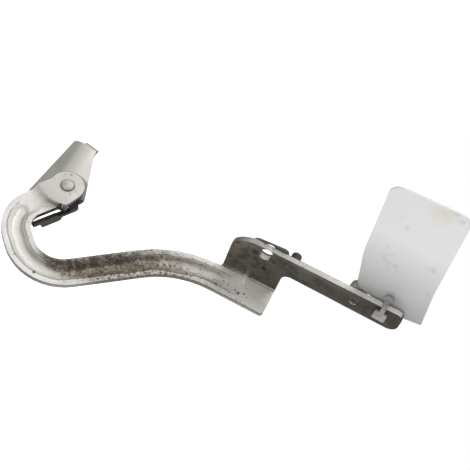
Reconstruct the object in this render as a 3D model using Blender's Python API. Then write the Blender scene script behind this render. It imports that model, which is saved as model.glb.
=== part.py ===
import math

import bmesh
import bpy
import numpy as np
from mathutils import Vector
from mathutils.geometry import delaunay_2d_cdt

# Hood hinge: a gooseneck arm of pressed sheet that turns on a rivet in a folded body bracket.
# Sheet pieces are drawn flat as blanks, given their pressed relief and thickness, and then folded.
# Flat drawings lie in the plane of the arm, x to the right and z up from the pivot, height h
# towards the front. The row stands on the bracket's base, with +Z up and the front facing -Y.

MM = 0.001
GAP = 0.3 * MM
ARC_STEP = math.radians(8)

# Arm: sheet, width and the run of its centreline from the pivot as (length or radius, turn)
ARM_SHEET = 4.5 * MM
ARM_HALF = 11.3 * MM
NECK_HEADING = math.radians(-22.6)
NECK = (30.1 * MM, 0.0)
ELBOW = (24.4 * MM, math.radians(75.6))
CHEEK = (9.1 * MM, 0.0)
LOOP = (33.0 * MM, math.radians(87.5))
BACK = (54.7 * MM, 0.0)
SWEEP = (86.5 * MM, math.radians(-41.0))
ARM_RUN = (NECK, ELBOW, CHEEK, LOOP, BACK, SWEEP)

# Foot and hood flange: s runs along the foot from the end of the run, n across it
FOOT_END = 45.4 * MM
FOOT_CORNER = 3.0 * MM
FLANGE_START = -0.5 * MM
FLANGE_FOLD = 11.5 * MM
FLANGE_INNER_RADIUS = 2.5 * MM
FLANGE_TOP = 47.5 * MM
FLANGE_CORNER = 15.5 * MM
FLANGE_ROOT_CORNER = 2.5 * MM
STRAP_LOW = 25.0 * MM
STRAP_END = 141.0 * MM
STRAP_FILLET = 7.0 * MM
STRAP_LOW_CORNER = 8.0 * MM
STRAP_TOP_CORNER = 6.0 * MM
SLOT_AT = (27.0 * MM, 38.0 * MM)
SLOT_HALF_WIDTH = 5.0 * MM
SLOT_HALF_LENGTH = 7.0 * MM
BUFFER_HOLE_AT = (102.0 * MM, 36.5 * MM)
BUFFER_HOLE_RADIUS = 4.25 * MM
FOLD_LINES = 6

# Gusset pressed across the inner corner of the flange
GUSSET_AT = 20.0 * MM
GUSSET_HALF = 4.0 * MM
GUSSET_LOW = 4.5 * MM
GUSSET_HIGH = 24.0 * MM
GUSSET_RISE = 3.4 * MM
GUSSET_LINES = 7

# Bead: a groove on the front and a rib behind, with round ends
BEAD_START = 40.6 * MM
BEAD_END = 242.5 * MM
BEAD_DEPTH = 2.9 * MM
BEAD_HALF = 5.6 * MM
BEAD_FLOOR_HALF = 2.2 * MM
BEAD_BACK_GROWTH = 1.5 * MM
BEAD_SAMPLES = 900
BEAD_ROWS = (7.1 * MM, 5.9 * MM, 5.0 * MM, 3.9 * MM, 3.0 * MM, 2.2 * MM)

# Boss round the pivot, raised above the neck by a joggle between two arcs
BOSS_RISE = 5.6 * MM
BOSS_MARGIN = 2.1 * MM
BOSS_RADIUS = ARM_HALF + BOSS_MARGIN
BOSS_LOBE = (9.8 * MM, 15.8 * MM)
BOSS_LOBE_RADIUS = 4.0 * MM
BOSS_STEP = 13.6 * MM
BOSS_STEP_FILLET = 2.0 * MM
BOSS_TOP_ANGLE = math.radians(100)
CREST_CENTRE = (-6.4 * MM, -5.6 * MM)
CREST_RADIUS = 26.2 * MM
JOGGLE_FOOT_CENTRE = (-7.0 * MM, -10.0 * MM)
JOGGLE_WIDTH = 5.2 * MM
JOGGLE_FOOT_RADIUS = CREST_RADIUS + JOGGLE_WIDTH
JOGGLE_BACK_SHIFT = 1.4 * MM
JOGGLE_SPAN = math.radians(58)
JOGGLE_LINES = 6
JOGGLE_LEAST_WIDTH = 0.4 * MM

# Bracket: ear, web and base of one sheet, the stop wall and the rolled end
EAR_SHEET = 4.0 * MM
EAR_FRONT = -0.5 * MM
EAR_FOLD = -8.5 * MM
WEB_BEND = (8.0 * MM, math.radians(50))
WEB = (16.1 * MM, 0.0)
BASE_BEND = (6.5 * MM, math.radians(40))
BASE = (40.0 * MM, 0.0)
BASE_LEFT = -46.0 * MM
BASE_RIGHT = 27.0 * MM
BASE_CORNER = 6.0 * MM
BASE_HOLE_SPREAD = 20.0 * MM
BASE_HOLE_RADIUS = 4.5 * MM
WEB_SHOULDER = (-19.5 * MM, 4.0 * MM)
WEB_NOTCH = (4.2 * MM, -17.6 * MM, 1.2 * MM)
EAR_ROUND = 14.6 * MM
EAR_ROUND_START = math.radians(-78)
EAR_ROUND_END = math.radians(20)
EAR_CREST = (-1.5 * MM, 16.0 * MM)
EAR_CREST_RADIUS = 6.0 * MM
EAR_SLOPE_END = (-39.5 * MM, -3.0 * MM)
EAR_SLOPE_RADIUS = 5.0 * MM
ROLL_START = -44.0 * MM
ROLL_TIP = -52.5 * MM
ROLL_TOP = -6.0 * MM
ROLL_LOW = -12.5 * MM
ROLL_TOP_CORNER = 2.5 * MM
ROLL = (5.0 * MM, math.radians(72))
RELIEF_FILLET = 1.2 * MM

# Stop wall: a tab of the ear folded back beside the neck, up to the arm's inner edge
STOP_FOLD = 12.4 * MM
STOP_ROOT = (-4.0 * MM, 3.5 * MM)
STOP_BEND_RADIUS = 3.0 * MM
STOP_STEP = 15.5 * MM
STOP_LOW_FRONT = 4.7 * MM
STOP_FRONT = 3.3 * MM
STOP_MIDDLE = (12.5 * MM, 30.5 * MM)
STOP_SHALLOW = 7.6 * MM
STOP_DEPTH = 12.4 * MM
STOP_END = 38.2 * MM
STOP_CORNER = 2.6 * MM
STOP_FILLET = 1.5 * MM

# Pivot: rivet, flanged bush and rear washer
RIVET_RADIUS = 4.0 * MM
RIVET_HEAD_RADIUS = 5.1 * MM
RIVET_HEAD_HEIGHT = 2.3 * MM
RIVET_NUB_RADIUS = 1.3 * MM
RIVET_NUB_HEIGHT = 0.45 * MM
RIVET_TAIL_RADIUS = 7.0 * MM
RIVET_TAIL_HEIGHT = 3.2 * MM
BUSH_RADIUS = 5.0 * MM
BUSH_FLANGE_RADIUS = 9.5 * MM
BUSH_LIP = 0.3 * MM
WASHER_RADIUS = 9.0 * MM
WASHER_SHEET = 1.5 * MM

# Fittings on the flange, at (s, height) on its faces
PAD_AT = (28.0 * MM, 37.4 * MM)
PAD_HALF = (14.5 * MM, 9.6 * MM)
PAD_CORNER = 4.0 * MM
PAD_SHEET = 2.0 * MM
PAD_SLOT_MARGIN = 0.8 * MM
PIN_RADIUS = 4.0 * MM
PIN_FOOT_RADIUS = 5.2 * MM
PIN_GAP = 0.8 * MM
PIN_AT = (PAD_AT[0] + PAD_HALF[0] + PIN_GAP + PIN_FOOT_RADIUS, 38.0 * MM)
PIN_FOOT_HEIGHT = 1.5 * MM
PIN_HEIGHT = 9.0 * MM
BUFFER_BASE_RADIUS = 9.6 * MM
BUFFER_BASE_HEIGHT = 2.0 * MM
BUFFER_TOP_RADIUS = 7.0 * MM
BUFFER_HEIGHT = 12.0 * MM
BUFFER_EDGE = 1.2 * MM
BUFFER_STEM = 3.8 * MM
BUFFER_STEM_HOLE = 2.2 * MM

# Guard plate: outline along the strap and up the plate, from its lower left corner round
GUARD_LOW = 38.0 * MM
GUARD_LEAN = math.radians(8)
GUARD_SHEET = 2.0 * MM
GUARD_TOE = (98.5 * MM, 10.0 * MM, 10.0 * MM)
GUARD_KEEL = (138.0 * MM, 1.0 * MM, 25.0 * MM)
GUARD_HEEL = (155.3 * MM, 3.5 * MM, 1.5 * MM)
GUARD_REAR_WAIST = (150.8 * MM, 38.0 * MM, 60.0 * MM)
GUARD_REAR_TOP = (145.5 * MM, 121.2 * MM, 9.0 * MM)
GUARD_FRONT_TOP = (84.0 * MM, 117.3 * MM, 9.0 * MM)
GUARD_FRONT_WAIST = (90.0 * MM, 46.0 * MM, 60.0 * MM)

# Guard clip: a strip from the flange's inner face over its free edge to the plate
CLIP_AT = 124.5 * MM
CLIP_SHEET = 2.0 * MM
CLIP_FOOT_LOW = 32.5 * MM
CLIP_FOOT_HALF = 5.2 * MM
CLIP_FOOT_HEIGHT = 9.5 * MM
CLIP_FOOT_CORNER = 1.5 * MM
CLIP_STEM_HALF = 1.8 * MM
CLIP_BEND = 2.0 * MM
CLIP_BRIDGE = 2.2 * MM
CLIP_CAP_HALF = 3.6 * MM
CLIP_CAP_HEIGHT = 5.5 * MM
CLIP_CAP_CORNER = 2.6 * MM
CLIP_FILLET = 1.0 * MM

# Place of the pivot in the row
PIVOT_X = 10.5 * MM
NECK_FRONT_Y = -40.0 * MM

SHARP_ANGLE = math.radians(38)
ROUND_PARTS = 40
ROUND_STEPS = 4
ROUND_STEP = math.pi / 2 / ROUND_STEPS
HEAD_ROUNDING = 0.8
WELD = 0.001 * MM
SHORTEST_STEP = 0.5 * MM
SHORTEST_EDGE = 0.05 * MM


# Flat drawing

def heading_vector(angle):
    return np.array([math.cos(angle), math.sin(angle)])


def run_at(moves, heading, lengths):
    """Points and headings at the given lengths along a run of straights and arcs."""
    lengths = np.atleast_1d(np.asarray(lengths, float))
    points = np.zeros((len(lengths), 2))
    headings = np.zeros(len(lengths))
    start = np.zeros(2)
    passed = 0.0
    for index, (size, turn) in enumerate(moves):
        span = size * abs(turn) if turn else size
        last = index == len(moves) - 1
        inside = (lengths >= passed) if last else (lengths >= passed) & (lengths < passed + span)
        if index == 0:
            inside = inside | (lengths < passed)
        step = lengths[inside] - passed
        if turn:
            side = math.copysign(1.0, turn)
            bend = np.clip(step, 0.0, span) * side / size
            beyond = step - np.clip(step, 0.0, span)
            angles = heading + bend
            centre = start + size * side * np.array([-math.sin(heading), math.cos(heading)])
            offset = size * side * np.stack([np.sin(angles), -np.cos(angles)], axis=1)
            onward = np.stack([np.cos(angles), np.sin(angles)], axis=1)
            points[inside] = centre + offset + beyond[:, None] * onward
            headings[inside] = angles
            start = centre + size * side * np.array([math.sin(heading + turn), -math.cos(heading + turn)])
            heading = heading + turn
        else:
            points[inside] = start + step[:, None] * heading_vector(heading)
            headings[inside] = heading
            start = start + size * heading_vector(heading)
        passed += span
    return points, headings


def run_length(moves):
    return sum(size * abs(turn) if turn else size for size, turn in moves)


def run_stations(moves, low, high):
    """Lengths at which a run needs points: every end of a straight, and steps round its arcs."""
    stations = [low, high]
    passed = 0.0
    for size, turn in moves:
        span = size * abs(turn) if turn else size
        steps = max(1, math.ceil(abs(turn) / ARC_STEP)) if turn else 1
        stations += [passed + span * step / steps for step in range(steps + 1)]
        passed += span
    inside = sorted(length for length in stations if low <= length <= high)
    kept = [inside[0]]
    for length in inside[1:]:
        if length - kept[-1] > SHORTEST_STEP:
            kept.append(length)
    kept[-1] = high
    return np.array(kept)


def beside_run(lengths, offset):
    """Points beside the arm's centreline, offset to its left."""
    points, headings = run_at(ARM_RUN, NECK_HEADING, lengths)
    normals = np.stack([-np.sin(headings), np.cos(headings)], axis=1)
    return points + normals * offset


def arc(centre, radius, first, last):
    steps = max(2, math.ceil(abs(last - first) / ARC_STEP))
    angles = np.linspace(first, last, steps + 1)
    return np.asarray(centre) + radius * np.stack([np.cos(angles), np.sin(angles)], axis=1)


def circle(centre, radius, parts):
    angles = np.arange(parts) * 2 * math.pi / parts
    return np.asarray(centre) + radius * np.stack([np.cos(angles), np.sin(angles)], axis=1)


def stadium(centre, half_width, half_length):
    """A slot outline, longer along the second axis."""
    straight = half_length - half_width
    top = arc((centre[0], centre[1] + straight), half_width, 0.0, math.pi)
    low = arc((centre[0], centre[1] - straight), half_width, math.pi, 2 * math.pi)
    return np.concatenate([top, low])


def round_corner(before, corner, after, radius):
    """The arc that rounds one corner, as points from the first side to the next."""
    before, corner, after = (np.asarray(point, float) for point in (before, corner, after))
    inward = (before - corner) / np.linalg.norm(before - corner)
    outward = (after - corner) / np.linalg.norm(after - corner)
    angle = math.acos(np.clip(inward @ outward, -1.0, 1.0))
    reach = radius / math.tan(angle / 2)
    bisector = (inward + outward) / np.linalg.norm(inward + outward)
    centre = corner + bisector * radius / math.sin(angle / 2)
    first = corner + inward * reach - centre
    last = corner + outward * reach - centre
    start = math.atan2(first[1], first[0])
    sweep = math.atan2(first[0] * last[1] - first[1] * last[0], first @ last)
    steps = max(2, math.ceil(abs(sweep) / (2 * ARC_STEP)))
    angles = start + sweep * np.arange(steps + 1) / steps
    return centre + radius * np.stack([np.cos(angles), np.sin(angles)], axis=1)


def rounded(corners, closed=True):
    """A polygon whose corners (x, y, radius) are rounded; an open one keeps its two ends."""
    points = []
    count = len(corners)
    for index, (x, y, radius) in enumerate(corners):
        ends = not closed and index in (0, count - 1)
        if ends or radius == 0:
            points.append(np.array([[x, y]]))
            continue
        before = corners[index - 1][:2]
        after = corners[(index + 1) % count][:2]
        points.append(round_corner(before, (x, y), after, radius))
    return np.concatenate(points)


def turned(points, origin, angle):
    """Points given along and across a heading, moved into the flat drawing."""
    along = heading_vector(angle)
    across = np.array([-along[1], along[0]])
    points = np.asarray(points, float)
    return np.asarray(origin) + points[:, :1] * along + points[:, 1:] * across


def unturned(points, origin, angle):
    along = heading_vector(angle)
    across = np.array([-along[1], along[0]])
    offset = points - np.asarray(origin)
    return offset @ along, offset @ across


def without_repeats(points):
    keep = np.linalg.norm(points - np.roll(points, 1, axis=0), axis=1) > SHORTEST_EDGE
    return points[keep]


def ease(values):
    """A soft step from 0 to 1."""
    values = np.clip(values, 0.0, 1.0)
    return values * values * (3 - 2 * values)


# Closed bodies

def inside_loop(points, loop):
    x, y = points[:, :1], points[:, 1:]
    following = np.roll(loop, -1, axis=0)
    crosses = (loop[:, 1] > y) != (following[:, 1] > y)
    rise = following[:, 1] - loop[:, 1]
    rise = np.where(rise == 0, WELD, rise)
    at = loop[:, 0] + (y - loop[:, 1]) * (following[:, 0] - loop[:, 0]) / rise
    return (crosses & (x < at)).sum(axis=1) % 2 == 1


def triangulated(outline, holes, lines):
    """Triangles of a flat blank that keep its outline, its holes and the lines drawn on it."""
    points = []
    edges = []
    for loop in [outline] + holes:
        first = len(points)
        points += [Vector(point) for point in loop]
        edges += [(first + step, first + (step + 1) % len(loop)) for step in range(len(loop))]
    for line in lines:
        first = len(points)
        points += [Vector(point) for point in line]
        edges += [(first + step, first + step + 1) for step in range(len(line) - 1)]
    found, _, faces, _, _, _ = delaunay_2d_cdt(points, edges, [], 0, WELD, False)
    flat = np.array([tuple(point) for point in found])
    faces = np.array([tuple(face) for face in faces])
    middles = flat[faces].mean(axis=1)
    kept = inside_loop(middles, outline)
    for hole in holes:
        kept &= ~inside_loop(middles, hole)
    faces = faces[kept]
    used, faces = np.unique(faces, return_inverse=True)
    return flat[used], faces.reshape(-1, 3)


def sheet(name, outline, holes, lines, thickness, place, material, front=None, back=None):
    """One closed body of pressed and folded sheet. place(x, y, height) gives world points."""
    flat, faces = triangulated(outline, holes, lines)
    level = np.zeros(len(flat))
    front_height = front(flat) if front else level
    back_height = (back(flat) if back else level) - thickness
    points = np.concatenate([place(flat, front_height), place(flat, back_height)])
    count = len(flat)
    directed = np.concatenate([faces[:, [0, 1]], faces[:, [1, 2]], faces[:, [2, 0]]])
    seen = {tuple(edge) for edge in directed.tolist()}
    rim = [(a, b) for a, b in seen if (b, a) not in seen]
    all_faces = faces.tolist() + (faces[:, ::-1] + count).tolist()
    all_faces += [(a, a + count, b + count, b) for a, b in rim]
    return add_object(name, points, all_faces, material)


def turned_piece(name, profile, place, material, parts=ROUND_PARTS):
    """A round body from its profile (radius, height), closed at the axis or back on itself."""
    points = []
    rings = []
    for radius, height in profile:
        if radius == 0:
            rings.append([len(points)] * parts)
            points.append((0.0, 0.0, height))
            continue
        rings.append(list(range(len(points), len(points) + parts)))
        ring = circle((0.0, 0.0), radius, parts)
        points += [(x, y, height) for x, y in ring]
    points = np.array(points)
    faces = []
    closed = profile[0][0] > 0
    for index in range(len(rings) if closed else len(rings) - 1):
        low, high = rings[index], rings[(index + 1) % len(rings)]
        for step in range(parts):
            after = (step + 1) % parts
            corners = (low[step], low[after], high[after], high[step])
            faces.append(tuple(dict.fromkeys(corners)))
    return add_object(name, place(points[:, :2], points[:, 2]), faces, material)


def add_object(name, points, faces, material):
    mesh = bpy.data.meshes.new(name)
    form = bmesh.new()
    corners = [form.verts.new(point) for point in points]
    for face in faces:
        form.faces.new([corners[index] for index in face])
    bmesh.ops.remove_doubles(form, verts=form.verts, dist=WELD)
    bmesh.ops.recalc_face_normals(form, faces=form.faces)
    form.to_mesh(mesh)
    form.free()
    piece = bpy.data.objects.new(name, mesh)
    bpy.context.collection.objects.link(piece)
    mesh.materials.append(material)
    mesh.shade_smooth()
    mesh.set_sharp_from_angle(angle=SHARP_ANGLE)
    return piece


# Places in the row

def world(x, z, height):
    return np.stack([x + PIVOT_X, NECK_FRONT_Y - height, z + PIVOT_Z], axis=1)


def base_drop():
    """Fall and depth of the base's middle surface below and behind the ear's fold."""
    points, _ = run_at((WEB_BEND, WEB, BASE_BEND), 0.0, [run_length((WEB_BEND, WEB, BASE_BEND))])
    return points[0]


PIVOT_Z = -EAR_FOLD + base_drop()[0] + EAR_SHEET / 2
FOOT_AT, FOOT_HEADING = (values[0] for values in run_at(ARM_RUN, NECK_HEADING, [run_length(ARM_RUN)]))
FLANGE_MIDDLE_RADIUS = FLANGE_INNER_RADIUS + ARM_SHEET / 2
FLANGE_ARC = FLANGE_MIDDLE_RADIUS * math.pi / 2
FLANGE_INNER = FLANGE_FOLD + FLANGE_INNER_RADIUS
FLANGE_OUTER = FLANGE_INNER + ARM_SHEET


def flange_flat(height):
    """Place on the flat blank of a height on the folded flange."""
    return FLANGE_FOLD + FLANGE_ARC + height - FLANGE_INNER_RADIUS


def folded_arm(flat, height):
    """World points of the arm: the flange part of the blank is folded up towards the front."""
    s, n = unturned(flat, FOOT_AT, FOOT_HEADING)
    folds = (s > FLANGE_START - WELD) & (n > FLANGE_FOLD)
    run = ((FLANGE_MIDDLE_RADIUS, math.pi / 2), (FLANGE_TOP, 0.0))
    points, headings = run_at(run, 0.0, np.where(folds, n - FLANGE_FOLD, 0.0))
    lift = height + ARM_SHEET / 2
    across = FLANGE_FOLD + points[:, 0] - lift * np.sin(headings)
    up = points[:, 1] + lift * np.cos(headings) - ARM_SHEET / 2
    plane = turned(np.stack([s, np.where(folds, across, n)], axis=1), FOOT_AT, FOOT_HEADING)
    return world(plane[:, 0], plane[:, 1], np.where(folds, up, height))


def on_flange(lean=0.0, low=0.0, out=FLANGE_OUTER + GAP):
    """Places on the flange's outer face: x along the foot, y up, height outwards."""
    def place(flat, height):
        up = low + flat[:, 1] * math.cos(lean) - height * math.sin(lean)
        outward = out + flat[:, 1] * math.sin(lean) + height * math.cos(lean)
        plane = turned(np.stack([flat[:, 0], outward], axis=1), FOOT_AT, FOOT_HEADING)
        return world(plane[:, 0], plane[:, 1], up)
    return place


def on_pivot(flat, height):
    return world(flat[:, 0], flat[:, 1], height)


# Gooseneck arm

def boss_outline():
    """From the neck's inner edge over the lobe and round the pivot to its outer edge."""
    lobe = [(BOSS_STEP + BOSS_LOBE_RADIUS, ARM_HALF, 0), (BOSS_STEP, ARM_HALF, BOSS_STEP_FILLET)]
    lobe += [(*BOSS_LOBE, BOSS_LOBE_RADIUS), (*(BOSS_RADIUS * heading_vector(BOSS_TOP_ANGLE)), 0)]
    outer_angle = 2 * math.pi - math.asin(ARM_HALF / BOSS_RADIUS)
    back = arc((0.0, 0.0), BOSS_RADIUS, BOSS_TOP_ANGLE, outer_angle)
    return turned(np.concatenate([rounded(lobe, closed=False), back]), (0.0, 0.0), NECK_HEADING)


def foot_outline():
    """Foot, flange and strap on the blank, from the foot's outer edge to the neck's inner edge."""
    strap_low = flange_flat(STRAP_LOW)
    free_edge = flange_flat(FLANGE_TOP)
    corners = [(FOOT_CORNER, -ARM_HALF, 0), (FOOT_END, -ARM_HALF, FOOT_CORNER)]
    corners += [(FOOT_END, strap_low, STRAP_FILLET), (STRAP_END, strap_low, STRAP_LOW_CORNER)]
    corners += [(STRAP_END, free_edge, STRAP_TOP_CORNER), (FLANGE_START, free_edge, FLANGE_CORNER)]
    corners += [(FLANGE_START, ARM_HALF, FLANGE_ROOT_CORNER), (FLANGE_START - ARM_HALF / 2, ARM_HALF, 0)]
    return turned(rounded(corners, closed=False), FOOT_AT, FOOT_HEADING)


def arm_outline():
    end = run_length(ARM_RUN)
    outer_start = math.sqrt(BOSS_RADIUS ** 2 - ARM_HALF ** 2)
    outer = beside_run(run_stations(ARM_RUN, outer_start + MM, end), -ARM_HALF)
    inner_start = BOSS_STEP + BOSS_LOBE_RADIUS + MM
    inner = beside_run(run_stations(ARM_RUN, inner_start, end - ARM_HALF / 2), ARM_HALF)[::-1]
    return without_repeats(np.concatenate([outer, foot_outline(), inner, boss_outline()]))


def bead_path(lengths):
    """The arm's centreline, carried on straight along the foot."""
    return run_at(ARM_RUN + ((FOOT_END, 0.0),), NECK_HEADING, lengths)


def bead_loop(half):
    """One line round the bead at a distance from its centreline, with round ends."""
    lengths = run_stations(ARM_RUN + ((FOOT_END, 0.0),), BEAD_START, BEAD_END)
    points, headings = bead_path(lengths)
    normals = np.stack([-np.sin(headings), np.cos(headings)], axis=1)
    end_cap = arc(points[-1], half, headings[-1] - math.pi / 2, headings[-1] + math.pi / 2)
    start_cap = arc(points[0], half, headings[0] + math.pi / 2, headings[0] + 3 * math.pi / 2)
    loop = [points - half * normals, end_cap[1:-1], (points + half * normals)[::-1], start_cap[1:]]
    return np.concatenate(loop)


def joggle_line(part, shift):
    """One line across the neck, between the crest (0) and the foot (1) of the joggle."""
    centre = np.asarray(CREST_CENTRE) * (1 - part) + np.asarray(JOGGLE_FOOT_CENTRE) * part
    radius = CREST_RADIUS * (1 - part) + JOGGLE_FOOT_RADIUS * part - shift
    return turned(arc(centre, radius, -JOGGLE_SPAN / 2, JOGGLE_SPAN), (0.0, 0.0), NECK_HEADING)


def joggle_height(flat, shift):
    """Height of the boss over the neck: full inside the crest arc, none beyond the foot arc."""
    crest = np.linalg.norm(flat - turned([CREST_CENTRE], (0.0, 0.0), NECK_HEADING), axis=1)
    foot = np.linalg.norm(flat - turned([JOGGLE_FOOT_CENTRE], (0.0, 0.0), NECK_HEADING), axis=1)
    past_crest = crest - CREST_RADIUS + shift
    before_foot = JOGGLE_FOOT_RADIUS - shift - foot
    width = np.maximum(past_crest + before_foot, JOGGLE_LEAST_WIDTH)
    part = np.where(before_foot <= 0, 1.0, past_crest / width)
    return BOSS_RISE * (1 - ease(part))


def bead_height(flat, growth):
    lengths = np.linspace(BEAD_START, BEAD_END, BEAD_SAMPLES)
    points, _ = bead_path(lengths)
    beside = np.array([np.linalg.norm(points - point, axis=1).min() for point in flat])
    slope = BEAD_HALF - BEAD_FLOOR_HALF
    return -BEAD_DEPTH * ease((BEAD_HALF + growth - beside) / slope)


def gusset_height(flat):
    s, n = unturned(flat, FOOT_AT, FOOT_HEADING)
    across = np.clip(abs(s - GUSSET_AT) / GUSSET_HALF, 0.0, 1.0)
    middle = (GUSSET_LOW + GUSSET_HIGH) / 2
    along = np.clip(abs(n - middle) / (GUSSET_HIGH - middle), 0.0, 1.0)
    return GUSSET_RISE * (1 - ease(across)) * (1 - along ** 2) * (s > 0)


def foot_lines():
    """Lines of the flange fold and of the gusset across it."""
    lines = []
    for step in range(FOLD_LINES + 1):
        n = FLANGE_FOLD + FLANGE_ARC * step / FOLD_LINES
        lines.append([(FLANGE_START - MM, n), (FOOT_END + MM, n)])
    for step in np.linspace(-1.0, 1.0, GUSSET_LINES):
        s = GUSSET_AT + GUSSET_HALF * step
        lines.append([(s, GUSSET_LOW), (s, GUSSET_HIGH)])
    below_fold = (GUSSET_LOW + FLANGE_FOLD) / 2
    above_fold = (GUSSET_HIGH + FLANGE_FOLD + FLANGE_ARC) / 2
    for n in (GUSSET_LOW, below_fold, above_fold, GUSSET_HIGH):
        lines.append([(GUSSET_AT - GUSSET_HALF, n), (GUSSET_AT + GUSSET_HALF, n)])
    return [turned(line, FOOT_AT, FOOT_HEADING) for line in lines]


def arm_front(flat):
    return joggle_height(flat, 0.0) + bead_height(flat, 0.0) + gusset_height(flat)


def arm_back(flat):
    pressed = joggle_height(flat, JOGGLE_BACK_SHIFT) + bead_height(flat, BEAD_BACK_GROWTH)
    return pressed + gusset_height(flat)


def build_arm(material):
    slot = stadium((SLOT_AT[0], flange_flat(SLOT_AT[1])), SLOT_HALF_WIDTH, SLOT_HALF_LENGTH)
    round_hole_at = (BUFFER_HOLE_AT[0], flange_flat(BUFFER_HOLE_AT[1]))
    round_hole = circle(round_hole_at, BUFFER_HOLE_RADIUS, ROUND_PARTS)
    holes = [turned(hole, FOOT_AT, FOOT_HEADING) for hole in (slot, round_hole)]
    holes.append(circle((0.0, 0.0), BUSH_RADIUS + GAP, ROUND_PARTS))
    lines = [bead_loop(half) for half in BEAD_ROWS] + foot_lines()
    for part in np.linspace(0.0, 1.0, JOGGLE_LINES):
        lines += [joggle_line(part, 0.0), joggle_line(part, JOGGLE_BACK_SHIFT)]
    outline = arm_outline()
    return sheet("hinge_arm", outline, holes, lines, ARM_SHEET, folded_arm, material, arm_front, arm_back)


# Body bracket

def folded_bracket(flat, height):
    """World points of the bracket, with its web and base, stop wall and rolled end folded back."""
    x, z = flat[:, 0].copy(), flat[:, 1].copy()
    up = EAR_FRONT + height
    lift = height + EAR_SHEET / 2
    s, n = unturned(flat, (0.0, 0.0), NECK_HEADING)
    down = z < EAR_FOLD
    base_run = (WEB_BEND, WEB, BASE_BEND, BASE)
    points, headings = run_at(base_run, 0.0, np.where(down, EAR_FOLD - z, 0.0))
    z = np.where(down, EAR_FOLD - points[:, 0] + lift * np.sin(headings) * -1, z)
    up = np.where(down, EAR_FRONT - EAR_SHEET / 2 - points[:, 1] + lift * np.cos(headings), up)
    rolls = (flat[:, 0] < ROLL_START) & ~down
    points, headings = run_at((ROLL, (MM, 0.0)), 0.0, np.where(rolls, ROLL_START - flat[:, 0], 0.0))
    x = np.where(rolls, ROLL_START - points[:, 0] - lift * np.sin(headings), x)
    up = np.where(rolls, EAR_FRONT - EAR_SHEET / 2 - points[:, 1] + lift * np.cos(headings), up)
    stops = (n > STOP_FOLD) & (s > STOP_ROOT[0] - WELD)
    stop_run = ((STOP_BEND_RADIUS, math.pi / 2), (STOP_DEPTH, 0.0))
    points, headings = run_at(stop_run, 0.0, np.where(stops, n - STOP_FOLD, 0.0))
    across = STOP_FOLD + points[:, 0] + lift * np.sin(headings)
    wall = turned(np.stack([s, across], axis=1), (0.0, 0.0), NECK_HEADING)
    x = np.where(stops, wall[:, 0], x)
    z = np.where(stops, wall[:, 1], z)
    up = np.where(stops, EAR_FRONT - EAR_SHEET / 2 - points[:, 1] + lift * np.cos(headings), up)
    return world(x, z, up)


def stop_outline():
    """The stop's tab on the blank, from the ear's round edge out along the neck and back."""
    root_low, root_high = STOP_ROOT
    low_front = STOP_FOLD + STOP_LOW_FRONT
    front = STOP_FOLD + STOP_FRONT
    shallow = STOP_FOLD + STOP_SHALLOW
    back = STOP_FOLD + STOP_DEPTH
    corners = [(root_high, STOP_FOLD - STOP_FILLET, 0), (root_high, low_front, STOP_FILLET)]
    corners += [(STOP_STEP, low_front, STOP_FILLET), (STOP_STEP + STOP_FILLET, front, STOP_FILLET)]
    corners += [(STOP_END, front, STOP_FILLET), (STOP_END, shallow, STOP_FILLET)]
    corners += [(STOP_MIDDLE[1], shallow, STOP_FILLET), (STOP_MIDDLE[1], back, STOP_CORNER)]
    corners += [(STOP_MIDDLE[0], back, STOP_CORNER), (STOP_MIDDLE[0], shallow, STOP_FILLET)]
    corners += [(root_low, shallow, STOP_CORNER), (root_low, STOP_FOLD - STOP_FILLET, 0)]
    return turned(rounded(corners, closed=False), (0.0, 0.0), NECK_HEADING)


def bracket_outline():
    """From the base's lower right corner up the right side, over the ear and down the left."""
    length = run_length((WEB_BEND, WEB, BASE_BEND, BASE))
    low = EAR_FOLD - length
    ear_round = arc((0.0, 0.0), EAR_ROUND, EAR_ROUND_START, EAR_ROUND_END)
    right = [(0.0, low, 0), (BASE_RIGHT, low, BASE_CORNER), (BASE_RIGHT, *WEB_SHOULDER), WEB_NOTCH]
    right += [(*ear_round[0], 0)]
    root = turned([(STOP_ROOT[0], STOP_FOLD - STOP_FILLET)], (0.0, 0.0), NECK_HEADING)[0]
    left = [(*root, 0), (*EAR_CREST, EAR_CREST_RADIUS), (*EAR_SLOPE_END, EAR_SLOPE_RADIUS)]
    left += [(ROLL_START, ROLL_TOP, RELIEF_FILLET), (ROLL_TIP, ROLL_TOP, ROLL_TOP_CORNER)]
    left += [(ROLL_TIP, ROLL_LOW, ROLL_TOP_CORNER), (BASE_LEFT, ROLL_LOW, RELIEF_FILLET)]
    left += [(BASE_LEFT, low, BASE_CORNER), (0.0, low, 0)]
    pieces = [rounded(right, closed=False), ear_round, stop_outline(), rounded(left, closed=False)]
    return without_repeats(np.concatenate(pieces))


def bend_lines(run, start, low, high, vertical):
    """Lines across a run at the ends of its straights and at steps round its bends."""
    lines = []
    for length in run_stations(run, 0.0, run_length(run)):
        at = start - length
        lines.append([(at, low), (at, high)] if vertical else [(low, at), (high, at)])
    return lines


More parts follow.
